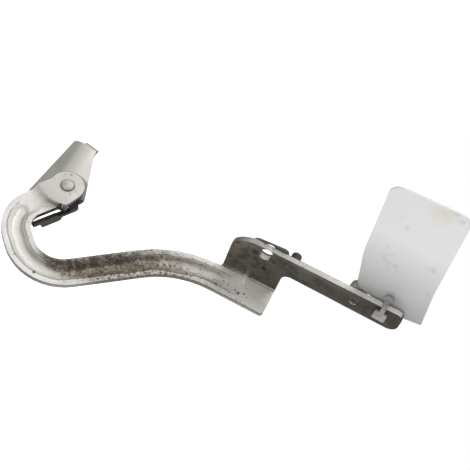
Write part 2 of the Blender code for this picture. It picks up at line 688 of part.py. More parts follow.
def build_bracket(material):
    base_middle = EAR_FOLD - run_length((WEB_BEND, WEB, BASE_BEND)) - BASE[0] / 2
    holes = [circle((0.0, 0.0), BUSH_RADIUS - BUSH_LIP + GAP, ROUND_PARTS)]
    for side in (-1, 1):
        centre = (side * BASE_HOLE_SPREAD - PIVOT_X, base_middle)
        holes.append(circle(centre, BASE_HOLE_RADIUS, ROUND_PARTS // 2))
    lines = bend_lines((WEB_BEND, WEB, BASE_BEND), EAR_FOLD, BASE_LEFT - MM, BASE_RIGHT + MM, False)
    lines += bend_lines((ROLL, (MM, 0.0)), ROLL_START, ROLL_LOW - MM, ROLL_TOP + MM, True)
    stop = bend_lines(((STOP_BEND_RADIUS, math.pi / 2),), STOP_FOLD + STOP_BEND_RADIUS * math.pi / 2,
                      STOP_ROOT[0] - MM, STOP_END + MM, False)
    lines += [turned(line, (0.0, 0.0), NECK_HEADING) for line in stop]
    return sheet("body_bracket", bracket_outline(), holes, lines, EAR_SHEET, folded_bracket, material)


# Pivot

def build_rivet(material):
    """Shank, low front head with a nub in its middle, and a wide tail behind the washer."""
    front = BOSS_RISE + GAP
    tail = EAR_FRONT - EAR_SHEET - WASHER_SHEET - 2 * GAP
    profile = [(0.0, tail - RIVET_TAIL_HEIGHT)]
    for angle in np.arange(1, ROUND_STEPS + 1) * ROUND_STEP:
        profile.append((RIVET_TAIL_RADIUS * math.sin(angle), tail - RIVET_TAIL_HEIGHT * math.cos(angle)))
    profile += [(RIVET_RADIUS, tail), (RIVET_RADIUS, front), (RIVET_HEAD_RADIUS, front)]
    for angle in np.arange(1, ROUND_STEPS + 1) * ROUND_STEP * HEAD_ROUNDING:
        radius = RIVET_HEAD_RADIUS * math.cos(angle)
        profile.append((radius, front + RIVET_HEAD_HEIGHT * math.sin(angle)))
    head = front + RIVET_HEAD_HEIGHT
    profile += [(RIVET_NUB_RADIUS, head), (0.0, head + RIVET_NUB_HEIGHT)]
    return turned_piece("pivot_rivet", profile, on_pivot, material)


def build_bush(material):
    """A sleeve in the arm's hole with a flange between the arm and the ear."""
    bore = RIVET_RADIUS + GAP
    low = EAR_FRONT + GAP
    flange = BOSS_RISE - ARM_SHEET - GAP
    profile = [(bore, low), (BUSH_FLANGE_RADIUS, low), (BUSH_FLANGE_RADIUS, flange)]
    profile += [(BUSH_RADIUS, flange), (BUSH_RADIUS, BOSS_RISE - GAP), (bore, BOSS_RISE - GAP)]
    return turned_piece("pivot_bush", profile, on_pivot, material)


def build_washer(material):
    front = EAR_FRONT - EAR_SHEET - GAP
    bore = RIVET_RADIUS + GAP
    profile = [(bore, front - WASHER_SHEET), (WASHER_RADIUS, front - WASHER_SHEET)]
    profile += [(WASHER_RADIUS, front), (bore, front)]
    return turned_piece("rear_washer", profile, on_pivot, material)


# Fittings on the flange

def build_pad(material):
    left, right = PAD_AT[0] - PAD_HALF[0], PAD_AT[0] + PAD_HALF[0]
    low, high = PAD_AT[1] - PAD_HALF[1], PAD_AT[1] + PAD_HALF[1]
    corners = [(left, low, PAD_CORNER), (right, low, PAD_CORNER)]
    corners += [(right, high, PAD_CORNER), (left, high, PAD_CORNER)]
    slot = stadium(SLOT_AT, SLOT_HALF_WIDTH + PAD_SLOT_MARGIN, SLOT_HALF_LENGTH + PAD_SLOT_MARGIN)
    place = on_flange(out=FLANGE_OUTER + GAP + PAD_SHEET)
    return sheet("flange_pad", rounded(corners), [slot], [], PAD_SHEET, place, material)


def round_on_flange(centre):
    place = on_flange()

    def placed(flat, height):
        return place(flat + np.asarray(centre), height)
    return placed


def build_pin(material):
    """A stud with a wide foot, a fillet and a rounded end."""
    profile = [(0.0, 0.0), (PIN_FOOT_RADIUS, 0.0), (PIN_FOOT_RADIUS, PIN_FOOT_HEIGHT)]
    profile.append((PIN_RADIUS, PIN_FOOT_HEIGHT))
    shoulder = PIN_HEIGHT - PIN_RADIUS / 2
    for angle in np.arange(ROUND_STEPS) * ROUND_STEP:
        profile.append((PIN_RADIUS * math.cos(angle), shoulder + PIN_RADIUS / 2 * math.sin(angle)))
    profile.append((0.0, PIN_HEIGHT))
    return turned_piece("locating_pin", profile, round_on_flange(PIN_AT), material, ROUND_PARTS // 2)


def build_buffer(material):
    """A tapered buffer with a wide base and a stem, dished at its end, that fills the hole."""
    stem_radius = BUFFER_HOLE_RADIUS - GAP
    profile = [(0.0, BUFFER_EDGE - BUFFER_STEM), (BUFFER_STEM_HOLE, BUFFER_EDGE - BUFFER_STEM)]
    profile += [(BUFFER_STEM_HOLE, -BUFFER_STEM), (stem_radius, -BUFFER_STEM), (stem_radius, 0.0)]
    profile += [(BUFFER_BASE_RADIUS, 0.0), (BUFFER_BASE_RADIUS, BUFFER_BASE_HEIGHT)]
    profile += [(BUFFER_TOP_RADIUS + BUFFER_EDGE, BUFFER_BASE_HEIGHT + BUFFER_EDGE)]
    profile.append((BUFFER_TOP_RADIUS, BUFFER_HEIGHT - BUFFER_EDGE))
    profile += [(BUFFER_TOP_RADIUS - BUFFER_EDGE, BUFFER_HEIGHT), (0.0, BUFFER_HEIGHT)]
    return turned_piece("rubber_buffer", profile, round_on_flange(BUFFER_HOLE_AT), material)


def build_guard(material):
    corners = [GUARD_TOE, GUARD_KEEL, GUARD_HEEL, GUARD_REAR_WAIST]
    corners += [GUARD_REAR_TOP, GUARD_FRONT_TOP, GUARD_FRONT_WAIST]
    place = on_flange(GUARD_LEAN, GUARD_LOW, FLANGE_OUTER + GAP + GUARD_SHEET)
    return sheet("guard_plate", rounded(corners), [], [], GUARD_SHEET, place, material)


def build_clip(material):
    """A strip with a wide foot below, a narrow stem over the free edge and a cap above."""
    rise = FLANGE_TOP + GAP + CLIP_SHEET - CLIP_BEND - CLIP_SHEET / 2 - CLIP_FOOT_LOW
    run = ((rise, 0.0), (CLIP_BEND, math.pi / 2), (CLIP_BRIDGE, 0.0))
    run += ((CLIP_BEND, -math.pi / 2), (CLIP_CAP_HEIGHT, 0.0))
    length = run_length(run)
    cap_low = length - CLIP_CAP_HEIGHT - CLIP_FILLET
    half = [(CLIP_FOOT_HALF, 0.0, CLIP_FOOT_CORNER), (CLIP_FOOT_HALF, CLIP_FOOT_HEIGHT, CLIP_FOOT_CORNER)]
    half += [(CLIP_STEM_HALF, CLIP_FOOT_HEIGHT, CLIP_FILLET), (CLIP_STEM_HALF, cap_low, CLIP_FILLET / 2)]
    half += [(CLIP_CAP_HALF, cap_low, CLIP_FILLET / 2), (CLIP_CAP_HALF, length, CLIP_CAP_CORNER)]
    corners = half + [(-x, y, radius) for x, y, radius in reversed(half)]
    lines = []
    for at in run_stations(run, 0.0, length)[1:-1]:
        lines.append([(-CLIP_FOOT_HALF - MM, at), (CLIP_FOOT_HALF + MM, at)])

    def place(flat, height):
        points, headings = run_at(run, 0.0, flat[:, 1])
        lift = height + CLIP_SHEET / 2
        up = CLIP_FOOT_LOW + points[:, 0] - lift * np.sin(headings)
        across = FLANGE_INNER - GAP - CLIP_SHEET / 2 + points[:, 1] + lift * np.cos(headings)
        plane = turned(np.stack([CLIP_AT + flat[:, 0], across], axis=1), FOOT_AT, FOOT_HEADING)
        return world(plane[:, 0], plane[:, 1], up)
    return sheet("guard_clip", rounded(corners), [], lines, CLIP_SHEET, place, material)


# Materials

def plain_material(name, colour, roughness, metallic):
    material = bpy.data.materials.new(name)
    material.use_nodes = True
    shader = material.node_tree.nodes["Principled BSDF"]
    shader.inputs["Base Color"].default_value = (*colour, 1.0)
    shader.inputs["Roughness"].default_value = roughness
    shader.inputs["Metallic"].default_value = metallic
    return material


def clear_scene():
    for piece in list(bpy.data.objects):
        bpy.data.objects.remove(piece, do_unlink=True)


def build():
    clear_scene()
    plated_steel = plain_material("plated_steel", (0.62, 0.61, 0.60), 0.42, 0.7)
    bracket_steel = plain_material("bracket_steel", (0.55, 0.56, 0.54), 0.45, 0.7)
    rivet_steel = plain_material("rivet_steel", (0.60, 0.59, 0.58), 0.35, 0.8)
    bearing_bronze = plain_material("bearing_bronze", (0.42, 0.33, 0.22), 0.4, 0.8)
    pad_rubber = plain_material("pad_rubber", (0.05, 0.05, 0.05), 0.8, 0.0)
    buffer_rubber = plain_material("buffer_rubber", (0.12, 0.11, 0.10), 0.7, 0.0)
    guard_plastic = plain_material("guard_plastic", (0.78, 0.78, 0.77), 0.4, 0.0)
    build_arm(plated_steel)
    build_bracket(bracket_steel)
    build_rivet(rivet_steel)
    build_bush(bearing_bronze)
    build_washer(rivet_steel)
    build_pad(pad_rubber)
    build_pin(rivet_steel)
    build_buffer(buffer_rubber)
    build_guard(guard_plastic)
    build_clip(guard_plastic)


build()
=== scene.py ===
import bmesh
import bpy
import numpy as np
from mathutils import Matrix, Vector
from mathutils.geometry import delaunay_2d_cdt


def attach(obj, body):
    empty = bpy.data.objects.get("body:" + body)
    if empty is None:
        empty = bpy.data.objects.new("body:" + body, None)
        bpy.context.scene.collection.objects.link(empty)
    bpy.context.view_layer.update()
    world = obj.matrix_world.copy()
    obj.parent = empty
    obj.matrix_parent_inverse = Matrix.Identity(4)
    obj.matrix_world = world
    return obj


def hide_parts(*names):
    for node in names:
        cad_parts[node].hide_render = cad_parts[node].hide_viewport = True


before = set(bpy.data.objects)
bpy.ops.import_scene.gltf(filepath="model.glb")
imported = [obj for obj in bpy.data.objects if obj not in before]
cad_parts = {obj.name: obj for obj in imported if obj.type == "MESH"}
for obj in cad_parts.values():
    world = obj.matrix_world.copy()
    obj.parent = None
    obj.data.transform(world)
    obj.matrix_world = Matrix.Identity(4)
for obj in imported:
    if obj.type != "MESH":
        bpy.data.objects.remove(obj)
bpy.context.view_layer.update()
print("frame loaded:", len(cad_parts), "CAD nodes")

millimetre = 0.001
pivot = np.array([0.0105, -0.0400, 0.028498])   # rivet axis where it meets the neck's front plane
sharpAngle = np.radians(38)                      # steeper edges are cut or folded


def hexColor(text):
    # sRGB hex to linear RGBA
    values = np.array([int(text[i:i + 2], 16) for i in (1, 3, 5)]) / 255
    linear = np.where(values <= 0.04045, values / 12.92, ((values + 0.055) / 1.055) ** 2.4)
    return (*[float(v) for v in linear], 1.0)


def addNode(tree, kind, settings=None, links=None):
    # one node with its attributes or input values, and its incoming links
    node = tree.nodes.new(kind)
    for key, value in (settings or {}).items():
        if isinstance(key, str) and hasattr(node, key):
            setattr(node, key, value)
        else:
            node.inputs[key].default_value = value
    for key, socket in (links or {}).items():
        tree.links.new(socket, node.inputs[key])
    return node


def addNamed(tree, kind, settings, links=None):
    # nodes of one kind that differ by their settings, and the value that each gives, by name
    return {name: addNode(tree, kind, values, links).outputs["Fac"] for name, values in settings.items()}


def newMaterial(name):
    # a principled material, with the object coordinates and normals that its patterns use
    material = bpy.data.materials.new(name)
    material.use_nodes = True
    tree = material.node_tree
    coordinates = addNode(tree, "ShaderNodeTexCoord").outputs
    return material, tree, tree.nodes["Principled BSDF"], coordinates["Object"], coordinates["Normal"]


def setShader(tree, shader, values, links):
    for name, value in values.items():
        shader.inputs[name].default_value = value
    for name, socket in links.items():
        tree.links.new(socket, shader.inputs[name])


def setStops(ramp, stops):
    # stops are (position, hex colour or grey value)
    elements = ramp.color_ramp.elements
    while len(elements) > 1:
        elements.remove(elements[-1])
    for index, (position, tone) in enumerate(stops):
        element = elements[0] if index == 0 else elements.new(position)
        element.position = position
        element.color = hexColor(tone) if isinstance(tone, str) else (tone, tone, tone, 1.0)


def layTones(tree, color, layers):
    # each layer is a tone and its masks, and covers the color below by the product of the masks
    for tone, cover, *others in layers:
        for other in others:
            cover = addNode(tree, "ShaderNodeMath", {"operation": "MULTIPLY"}, {0: cover, 1: other}).outputs[0]
        color = addNode(tree, "ShaderNodeMix", {"data_type": "RGBA", 7: hexColor(tone)},
                        {"Factor": cover, 6: color}).outputs[2]
    return color


def laySpots(tree, color, place, shake, spots, rim):
    # spots are (middle, radius, raggedness, tone, strength) in metres; rim has the shares of the radius
    # where a spot starts and where it is at its full strength
    for middle, radius, ragged, tone, strength in spots:
        reach = addNode(tree, "ShaderNodeVectorMath", {"operation": "DISTANCE", 1: tuple(middle)},
                        {0: place}).outputs["Value"]
        wobble = addNode(tree, "ShaderNodeMath", {"operation": "MULTIPLY_ADD", 1: 2 * ragged, 2: -ragged},
                         {0: shake}).outputs[0]
        shaken = addNode(tree, "ShaderNodeMath", {"operation": "ADD"}, {0: reach, 1: wobble}).outputs[0]
        ends = {"From Min": rim[0] * radius, "From Max": rim[1] * radius, "To Max": strength}
        mask = addNode(tree, "ShaderNodeMapRange", ends, {"Value": shaken}).outputs[0]
        color = layTones(tree, color, [(tone, mask)])
    return color


def axisDistance(tree, place):
    # metres from the pivot's axis
    offset = addNode(tree, "ShaderNodeVectorMath", {"operation": "SUBTRACT", 1: tuple(pivot)}, {0: place}).outputs[0]
    flat = addNode(tree, "ShaderNodeVectorMath", {"operation": "MULTIPLY", 1: (1.0, 0.0, 1.0)}, {0: offset}).outputs[0]
    return addNode(tree, "ShaderNodeVectorMath", {"operation": "LENGTH"}, {0: flat}).outputs["Value"]


def edgeMask(tree, straight, ends):
    # straight is 1 or -1 where a surface faces along a direction, and near 0 on the edges cut across it
    flatness = addNode(tree, "ShaderNodeMath", {"operation": "ABSOLUTE"}, {0: straight}).outputs[0]
    return addNode(tree, "ShaderNodeMapRange", ends, {"Value": flatness}).outputs[0]


def headingVector(angle):
    return np.array([np.cos(angle), np.sin(angle)])


def turnedPoints(points, origin, angle):
    # points given along and across a heading, set in the flat drawing
    points = np.atleast_2d(np.asarray(points, float))
    return np.asarray(origin) + points[:, :1] * headingVector(angle) + points[:, 1:] * headingVector(angle + np.pi / 2)


def unturnedPoints(points, origin, angle):
    # how far points lie along and across a heading, seen from its origin
    offset = points - np.asarray(origin)
    return offset @ headingVector(angle), offset @ headingVector(angle + np.pi / 2)


def softWindow(values, low, high, fade):
    # 1 between low and high, falling to 0 over the fade on both sides
    rise = np.clip((values - low) / fade + 1, 0, 1)
    fall = np.clip((high - values) / fade + 1, 0, 1)
    return rise * fall


def fadeIn(values, start, fade):
    return np.clip((values - start) / fade, 0, 1)


def fadeOut(values, end, fade):
    return np.clip((end - values) / fade, 0, 1)


def addObject(name, data):
    thing = bpy.data.objects.new(name, data)
    bpy.context.scene.collection.objects.link(thing)
    return thing


def finishPiece(piece, nodeName, body, edgeRadius):
    # worn edges are rounded, and the piece is shown in the node's place
    piece.data.shade_smooth()
    piece.data.set_sharp_from_angle(angle=sharpAngle)
    bevel = piece.modifiers.new("wornEdge", "BEVEL")
    bevel.width = edgeRadius * millimetre
    bevel.segments = 2
    bevel.limit_method = "ANGLE"
    bevel.angle_limit = sharpAngle
    bevel.harden_normals = True
    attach(piece, body)
    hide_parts(nodeName)


def dressedCopy(nodeName, pieceName, body, edgeRadius):
    # a merged copy of a CAD node, finished and still without a material
    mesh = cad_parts[nodeName].data.copy()
    form = bmesh.new()
    form.from_mesh(mesh)
    bmesh.ops.remove_doubles(form, verts=form.verts, dist=0.000002)
    form.to_mesh(mesh)
    form.free()
    mesh.name = pieceName
    piece = addObject(pieceName, mesh)
    mesh.materials.clear()
    finishPiece(piece, nodeName, body, edgeRadius)
    return mesh


def vertexArray(mesh):
    flat = np.empty(len(mesh.vertices) * 3, np.float32)
    mesh.vertices.foreach_get("co", flat)
    return flat.reshape(-1, 3).astype(float)


def storeValue(mesh, name, values):
    attribute = mesh.attributes.new(name, "FLOAT", "POINT")
    attribute.data.foreach_set("value", np.asarray(values, np.float32))


# ---- places on the arm: its centreline of straights and arcs, as pressed, and the foot at its end

armRun = {
    "heading": -22.6,            # degrees, as the neck leaves the pivot
    # a straight's length in mm with no turn, or an arc's radius in mm and its turn in degrees
    "moves": ((30.1, 0), (24.4, 75.6), (9.1, 0), (33.0, 87.5), (54.7, 0), (86.5, -41.0), (45.4, 0)),
    "step": 0.5,
}
footLine = {"heading": 99.5, "start": (-15.74, 136.13)}      # degrees, and (x, z) in mm from the pivot
# the flange's free corner falls, in mm: most at its start, none from the end of the run along the flange,
# none below a height and in full over the next height; the flange lies left of and beyond these places
cornerFall = {"most": 7.5, "end": 29.5, "run": 30.0, "above": 22.0, "over": 25.5, "left": 11.0, "from": -3.0}


def runPoints(run):
    # integrate the heading in half-millimetre steps: straights keep it, arcs turn it by step / radius
    lengths, turns = [], []
    for size, turn in run["moves"]:
        span = size * abs(np.radians(turn)) if turn else size
        count = max(1, round(span / run["step"]))
        lengths.append(np.full(count, span / count))
        turns.append(np.full(count, np.radians(turn) / count))
    lengths, turns = np.concatenate(lengths), np.concatenate(turns)
    heading = np.radians(run["heading"]) + np.cumsum(turns) - turns / 2
    steps = np.stack([np.cos(heading), np.sin(heading)], 1) * lengths[:, None]
    points = np.concatenate([np.zeros((1, 2)), np.cumsum(steps, 0)])
    headings = np.concatenate([heading[:1], heading])
    return points, headings, np.concatenate([[0.0], np.cumsum(lengths)])


def armPlaces(vertices):
    # length along and signed offset across the centreline, in mm, of the nearest centreline point
    points, headings, lengths = runPoints(armRun)
    flat = (vertices - pivot)[:, [0, 2]] / millimetre
    gaps = np.linalg.norm(flat[:, None, :] - points[None], axis=2)
    nearest = gaps.argmin(1)
    offset = flat - points[nearest]
    across = -offset[:, 0] * np.sin(headings[nearest]) + offset[:, 1] * np.cos(headings[nearest])
    return lengths[nearest], across


def footPlaces(vertices):
    # mm along the foot, mm to its left where the flange stands, and mm of height in front of the pivot's plane
    flat = (vertices - pivot)[:, [0, 2]] / millimetre
    outward, left = unturnedPoints(flat, footLine["start"], np.radians(footLine["heading"]))
    return outward, left, (pivot[1] - vertices[:, 1]) / millimetre


def lowerCorner(mesh):
    # moves the vertices by the flange's fall, the product of two straight ramps
    vertices = vertexArray(mesh)
    outward, left, height = footPlaces(vertices)
    ramps = fadeOut(outward, cornerFall["end"], cornerFall["run"])
    ramps *= fadeIn(height, cornerFall["above"], cornerFall["over"])
    onFlange = (left > cornerFall["left"]) & (outward > cornerFall["from"])
    vertices[:, 1] += cornerFall["most"] * ramps * onFlange * millimetre
    mesh.vertices.foreach_set("co", vertices.astype(np.float32).ravel())
    mesh.update()
    return vertices


# ---- arm: zinc-plated pressed steel; dull pale grey with brown road dirt lying in the bead, and painted shade
# on the bead's walls, the flange and the cut edges

armLook = {
    "acrossSpan": 12.0,          # mm either side of the centreline that the tone ramps cover
    # tones across the bead: the darker bands on its walls and edges are painted shade, under brown dirt in the dirty
    # ramp
    "cleanWithWallShade": ((-11.5, "#CCCAC7"), (-7.6, "#D2D0CD"), (-7.0, "#7D7A75"), (-6.2, "#ACA9A4"), (-4.8, "#C3C0BB"),
                    (-2.6, "#D4D2CD"), (2.6, "#D0CDC8"), (3.6, "#B5B1AA"), (4.4, "#A5A19A"), (5.8, "#ACA8A0"),
                    (6.8, "#827E77"), (7.4, "#CECCC8"), (11.5, "#CFCDCA")),
    "dirtWithWallShade": ((-11.5, "#9F988E"), (-7.9, "#A59E94"), (-7.2, "#3A3129"), (-6.4, "#564C40"), (-4.6, "#5A5042"),
                    (-2.6, "#6B6152"), (1.0, "#6E6353"), (2.8, "#4E4337"), (4.2, "#3A3028"), (6.6, "#322A24"),
                    (8.8, "#352D27"), (10.0, "#665D52"), (11.5, "#857D73")),
    "dirtAlong": ((0, 0.0), (74, 0.05), (92, 0.3), (102, 0.8), (112, 1.0), (158, 1.0), (172, 0.85), (190, 0.66),
                  (208, 0.5), (224, 0.34), (244, 0.22), (290, 0.12)),
    "alongSpan": 300.0,
    # the rim's and boss's tones are the plating's; the foot's is a little darker and the flange's and strap's much
    # darker, painted shade
    "rimTone": "#D3D0CC",
    "bossTone": "#B9B5B0",
    "footTone": "#C8C4BE",
    "flangeTone": "#6F6A5E",
    "strapTone": "#3F3930",
    "stainTone": "#1E1A15",
    # cut edges: grime and painted shade; the next tone is black painted shadow on the neck's inner edge, and dirt and
    # painted shade round the rivet
    "edgeTone": "#5F5B54",
    "greaseTone": "#262220",
    # the flange's front-facing free edge: darker, and pale along the strap as painted light where it faces the light
    "flangeEdgeTone": "#5F5C57",
    "strapEdgeTone": "#D0CDC8",
    # dents, pits and rust spots: place in mm from the pivot (x, rearward, z), radius, tone and strength
    "spots": (((-9.9, 0, 139.8), 1.3, "#4B443C", 0.9), ((-11.0, 0, 151.7), 0.9, "#4B443C", 0.7),
              ((-15.6, 0, 154.2), 1.1, "#57504A", 0.8), ((-15.0, 0, 157.6), 1.5, "#4B443C", 0.9),
              ((-17.5, 0, 161.7), 0.9, "#57504A", 0.8), ((75.6, 0, 28.6), 1.4, "#4A4037", 0.9),
              ((73.4, 0, 7.5), 1.0, "#5C5349", 0.7), ((8.2, -5.6, -5.3), 0.7, "#8B857D", 0.8),
              ((-10.2, -5.6, -3.9), 0.8, "#6B645C", 0.8), ((-34.5, -19.6, 163.4), 2.4, "#210A07", 1.0),
              ((-37.1, -45.8, 179.0), 3.6, "#33150C", 0.95), ((-32.7, -34.1, 152.2), 3.4, "#2E150E", 0.9),
              ((-35.4, -32.8, 168.6), 1.3, "#2A1C15", 0.9), ((-36.7, -38.4, 176.4), 1.2, "#2A1C15", 0.9),
              ((4.8, -5.6, 6.5), 1.0, "#5C5048", 0.8)),
    # darker in the fold's inner corner where the foot starts
    "grimeTone": "#4A4036",
    "rustTone": "#3C3128",
    "edgeRadius": 0.4,
    "surface": {"Metallic": 0.12, "Specular IOR Level": 0.32},      # dulled plating mirrors next to nothing
    "noises": {
        "shake": {"Scale": 140.0, "Detail": 3.0},  # 7 mm smears
        "patches": {"Scale": 125.0, "Detail": 9.0, "Roughness": 0.78},  # 8 mm patches down to crumbs
        "stains": {"Scale": 85.0, "Detail": 7.0, "Roughness": 0.7},  # 12 mm stains on the flange
        "clouds": {"Scale": 40.0, "Detail": 5.0, "Roughness": 0.55},  # 25 mm clouds in the plating
        # 2.4 mm mottling: the plating's real grain is too fine to show, so it is drawn as coarse as this
        "mottle": {"Scale": 420.0, "Detail": 4.0, "Roughness": 0.6},
        "specks": {"Scale": 520.0, "Detail": 3.0, "Roughness": 0.6},  # 2 mm specks and pits
    },
    "shake": 0.8,                # mm that smears shift the tones across the arm, to either side
    # the dirt starts 13 mm later at the centreline, and 2.2 mm sooner for each mm towards the inner side
    "dirtDelay": 13.0,
    "dirtSlant": 2.2,
    "spotRagged": 0.8,           # mm
    "spotRim": (1.2, 0.6),       # shares of the radius
    "ranges": {
        "broken": {"From Min": 0.42, "From Max": 0.54, "To Min": 0.72, "To Max": 1.1},
        "stained": {"From Min": 0.50, "From Max": 0.60, "To Max": 0.7},
        "cut": {"From Min": 0.42, "From Max": 0.12},
        "facingFront": {"From Min": -0.55, "From Max": -0.8},
        "ring": {"From Min": 0.0064, "From Max": 0.0054, "To Max": 0.75},
        "cloudTone": {"From Min": 0.3, "From Max": 0.7, "To Min": 0.88, "To Max": 1.06},
        "mottleTone": {"From Min": 0.3, "From Max": 0.7, "To Min": 0.95, "To Max": 1.04},
        "speckled": {"From Min": 0.66, "From Max": 0.71, "To Max": 0.8},
        "dull": {"To Min": 0.40, "To Max": 0.72},
    },
    "speckDirt": 0.15,
    "cloudRough": 0.10,
    "mottleBump": {"Strength": 0.16, "Distance": 0.0003},
    "patchBump": {"Strength": 0.22, "Distance": 0.0008},
    # where the zones lie in mm: along and across the centreline, or along, left of and above the foot
    "zones": {
        "bead": {"window": (40, 246, 3)},
        "boss": {"end": 23, "fade": 3, "reach": 32},
        "foot": {"from": 2, "fade": 12, "left": 11},
        "flange": {"left": 11.4, "fade": 1.5, "from": -2},
        "strap": {"from": 5, "fade": 60, "power": 0.6},
        # the next two darken cut edges: with grime and painted shade, and with black painted shadow on the neck's inner
        # edge beside the pivot
        "edge": {"share": 0.85, "left": 10.5, "fade": 1.0, "least": 0.35, "dirtFrom": 60, "dirtFade": 30},
        "grease": {"share": 0.95, "inside": 2, "end": 42, "fade": 8},
        # a darker patch in the fold's inner corner, low down and where the foot starts
        "grime": {"share": 0.55, "along": (-1, 3, 5), "left": (11, 15, 2), "below": 12},
    },
}


def armMasks(vertices, zones):
    # at each vertex, the places in mm and each zone's value from 0 to 1
    along, across = armPlaces(vertices)
    outward, left, height = footPlaces(vertices)
    reach = np.linalg.norm((vertices - pivot)[:, [0, 2]] / millimetre, axis=1)
    boss, foot, flange, strap = (zones[name] for name in ("boss", "foot", "flange", "strap"))
    edge, grease, grime = (zones[name] for name in ("edge", "grease", "grime"))
    onFlange = outward > flange["from"]
    raised = fadeIn(left, flange["left"], flange["fade"])
    sheetPart = 1 - fadeIn(left, edge["left"], edge["fade"]) * onFlange
    dirtyPart = edge["least"] + (1 - edge["least"]) * fadeIn(along, edge["dirtFrom"], edge["dirtFade"])
    return {
        "along": along,
        "across": across,
        "bead": softWindow(along, *zones["bead"]["window"]),
        "boss": fadeOut(along, boss["end"], boss["fade"]) * (reach < boss["reach"]),
        "foot": fadeIn(outward, foot["from"], foot["fade"]) * (left < foot["left"]),
        "flange": raised * onFlange,
        "strap": raised * fadeIn(outward, strap["from"], strap["fade"]) ** strap["power"],
        "edge": edge["share"] * sheetPart * dirtyPart,
        "grease": grease["share"] * (across > grease["inside"]) * fadeOut(along, grease["end"], grease["fade"]),
        "grime": grime["share"] * softWindow(outward, *grime["along"]) * softWindow(left, *grime["left"])
        * (height < grime["below"]),
    }


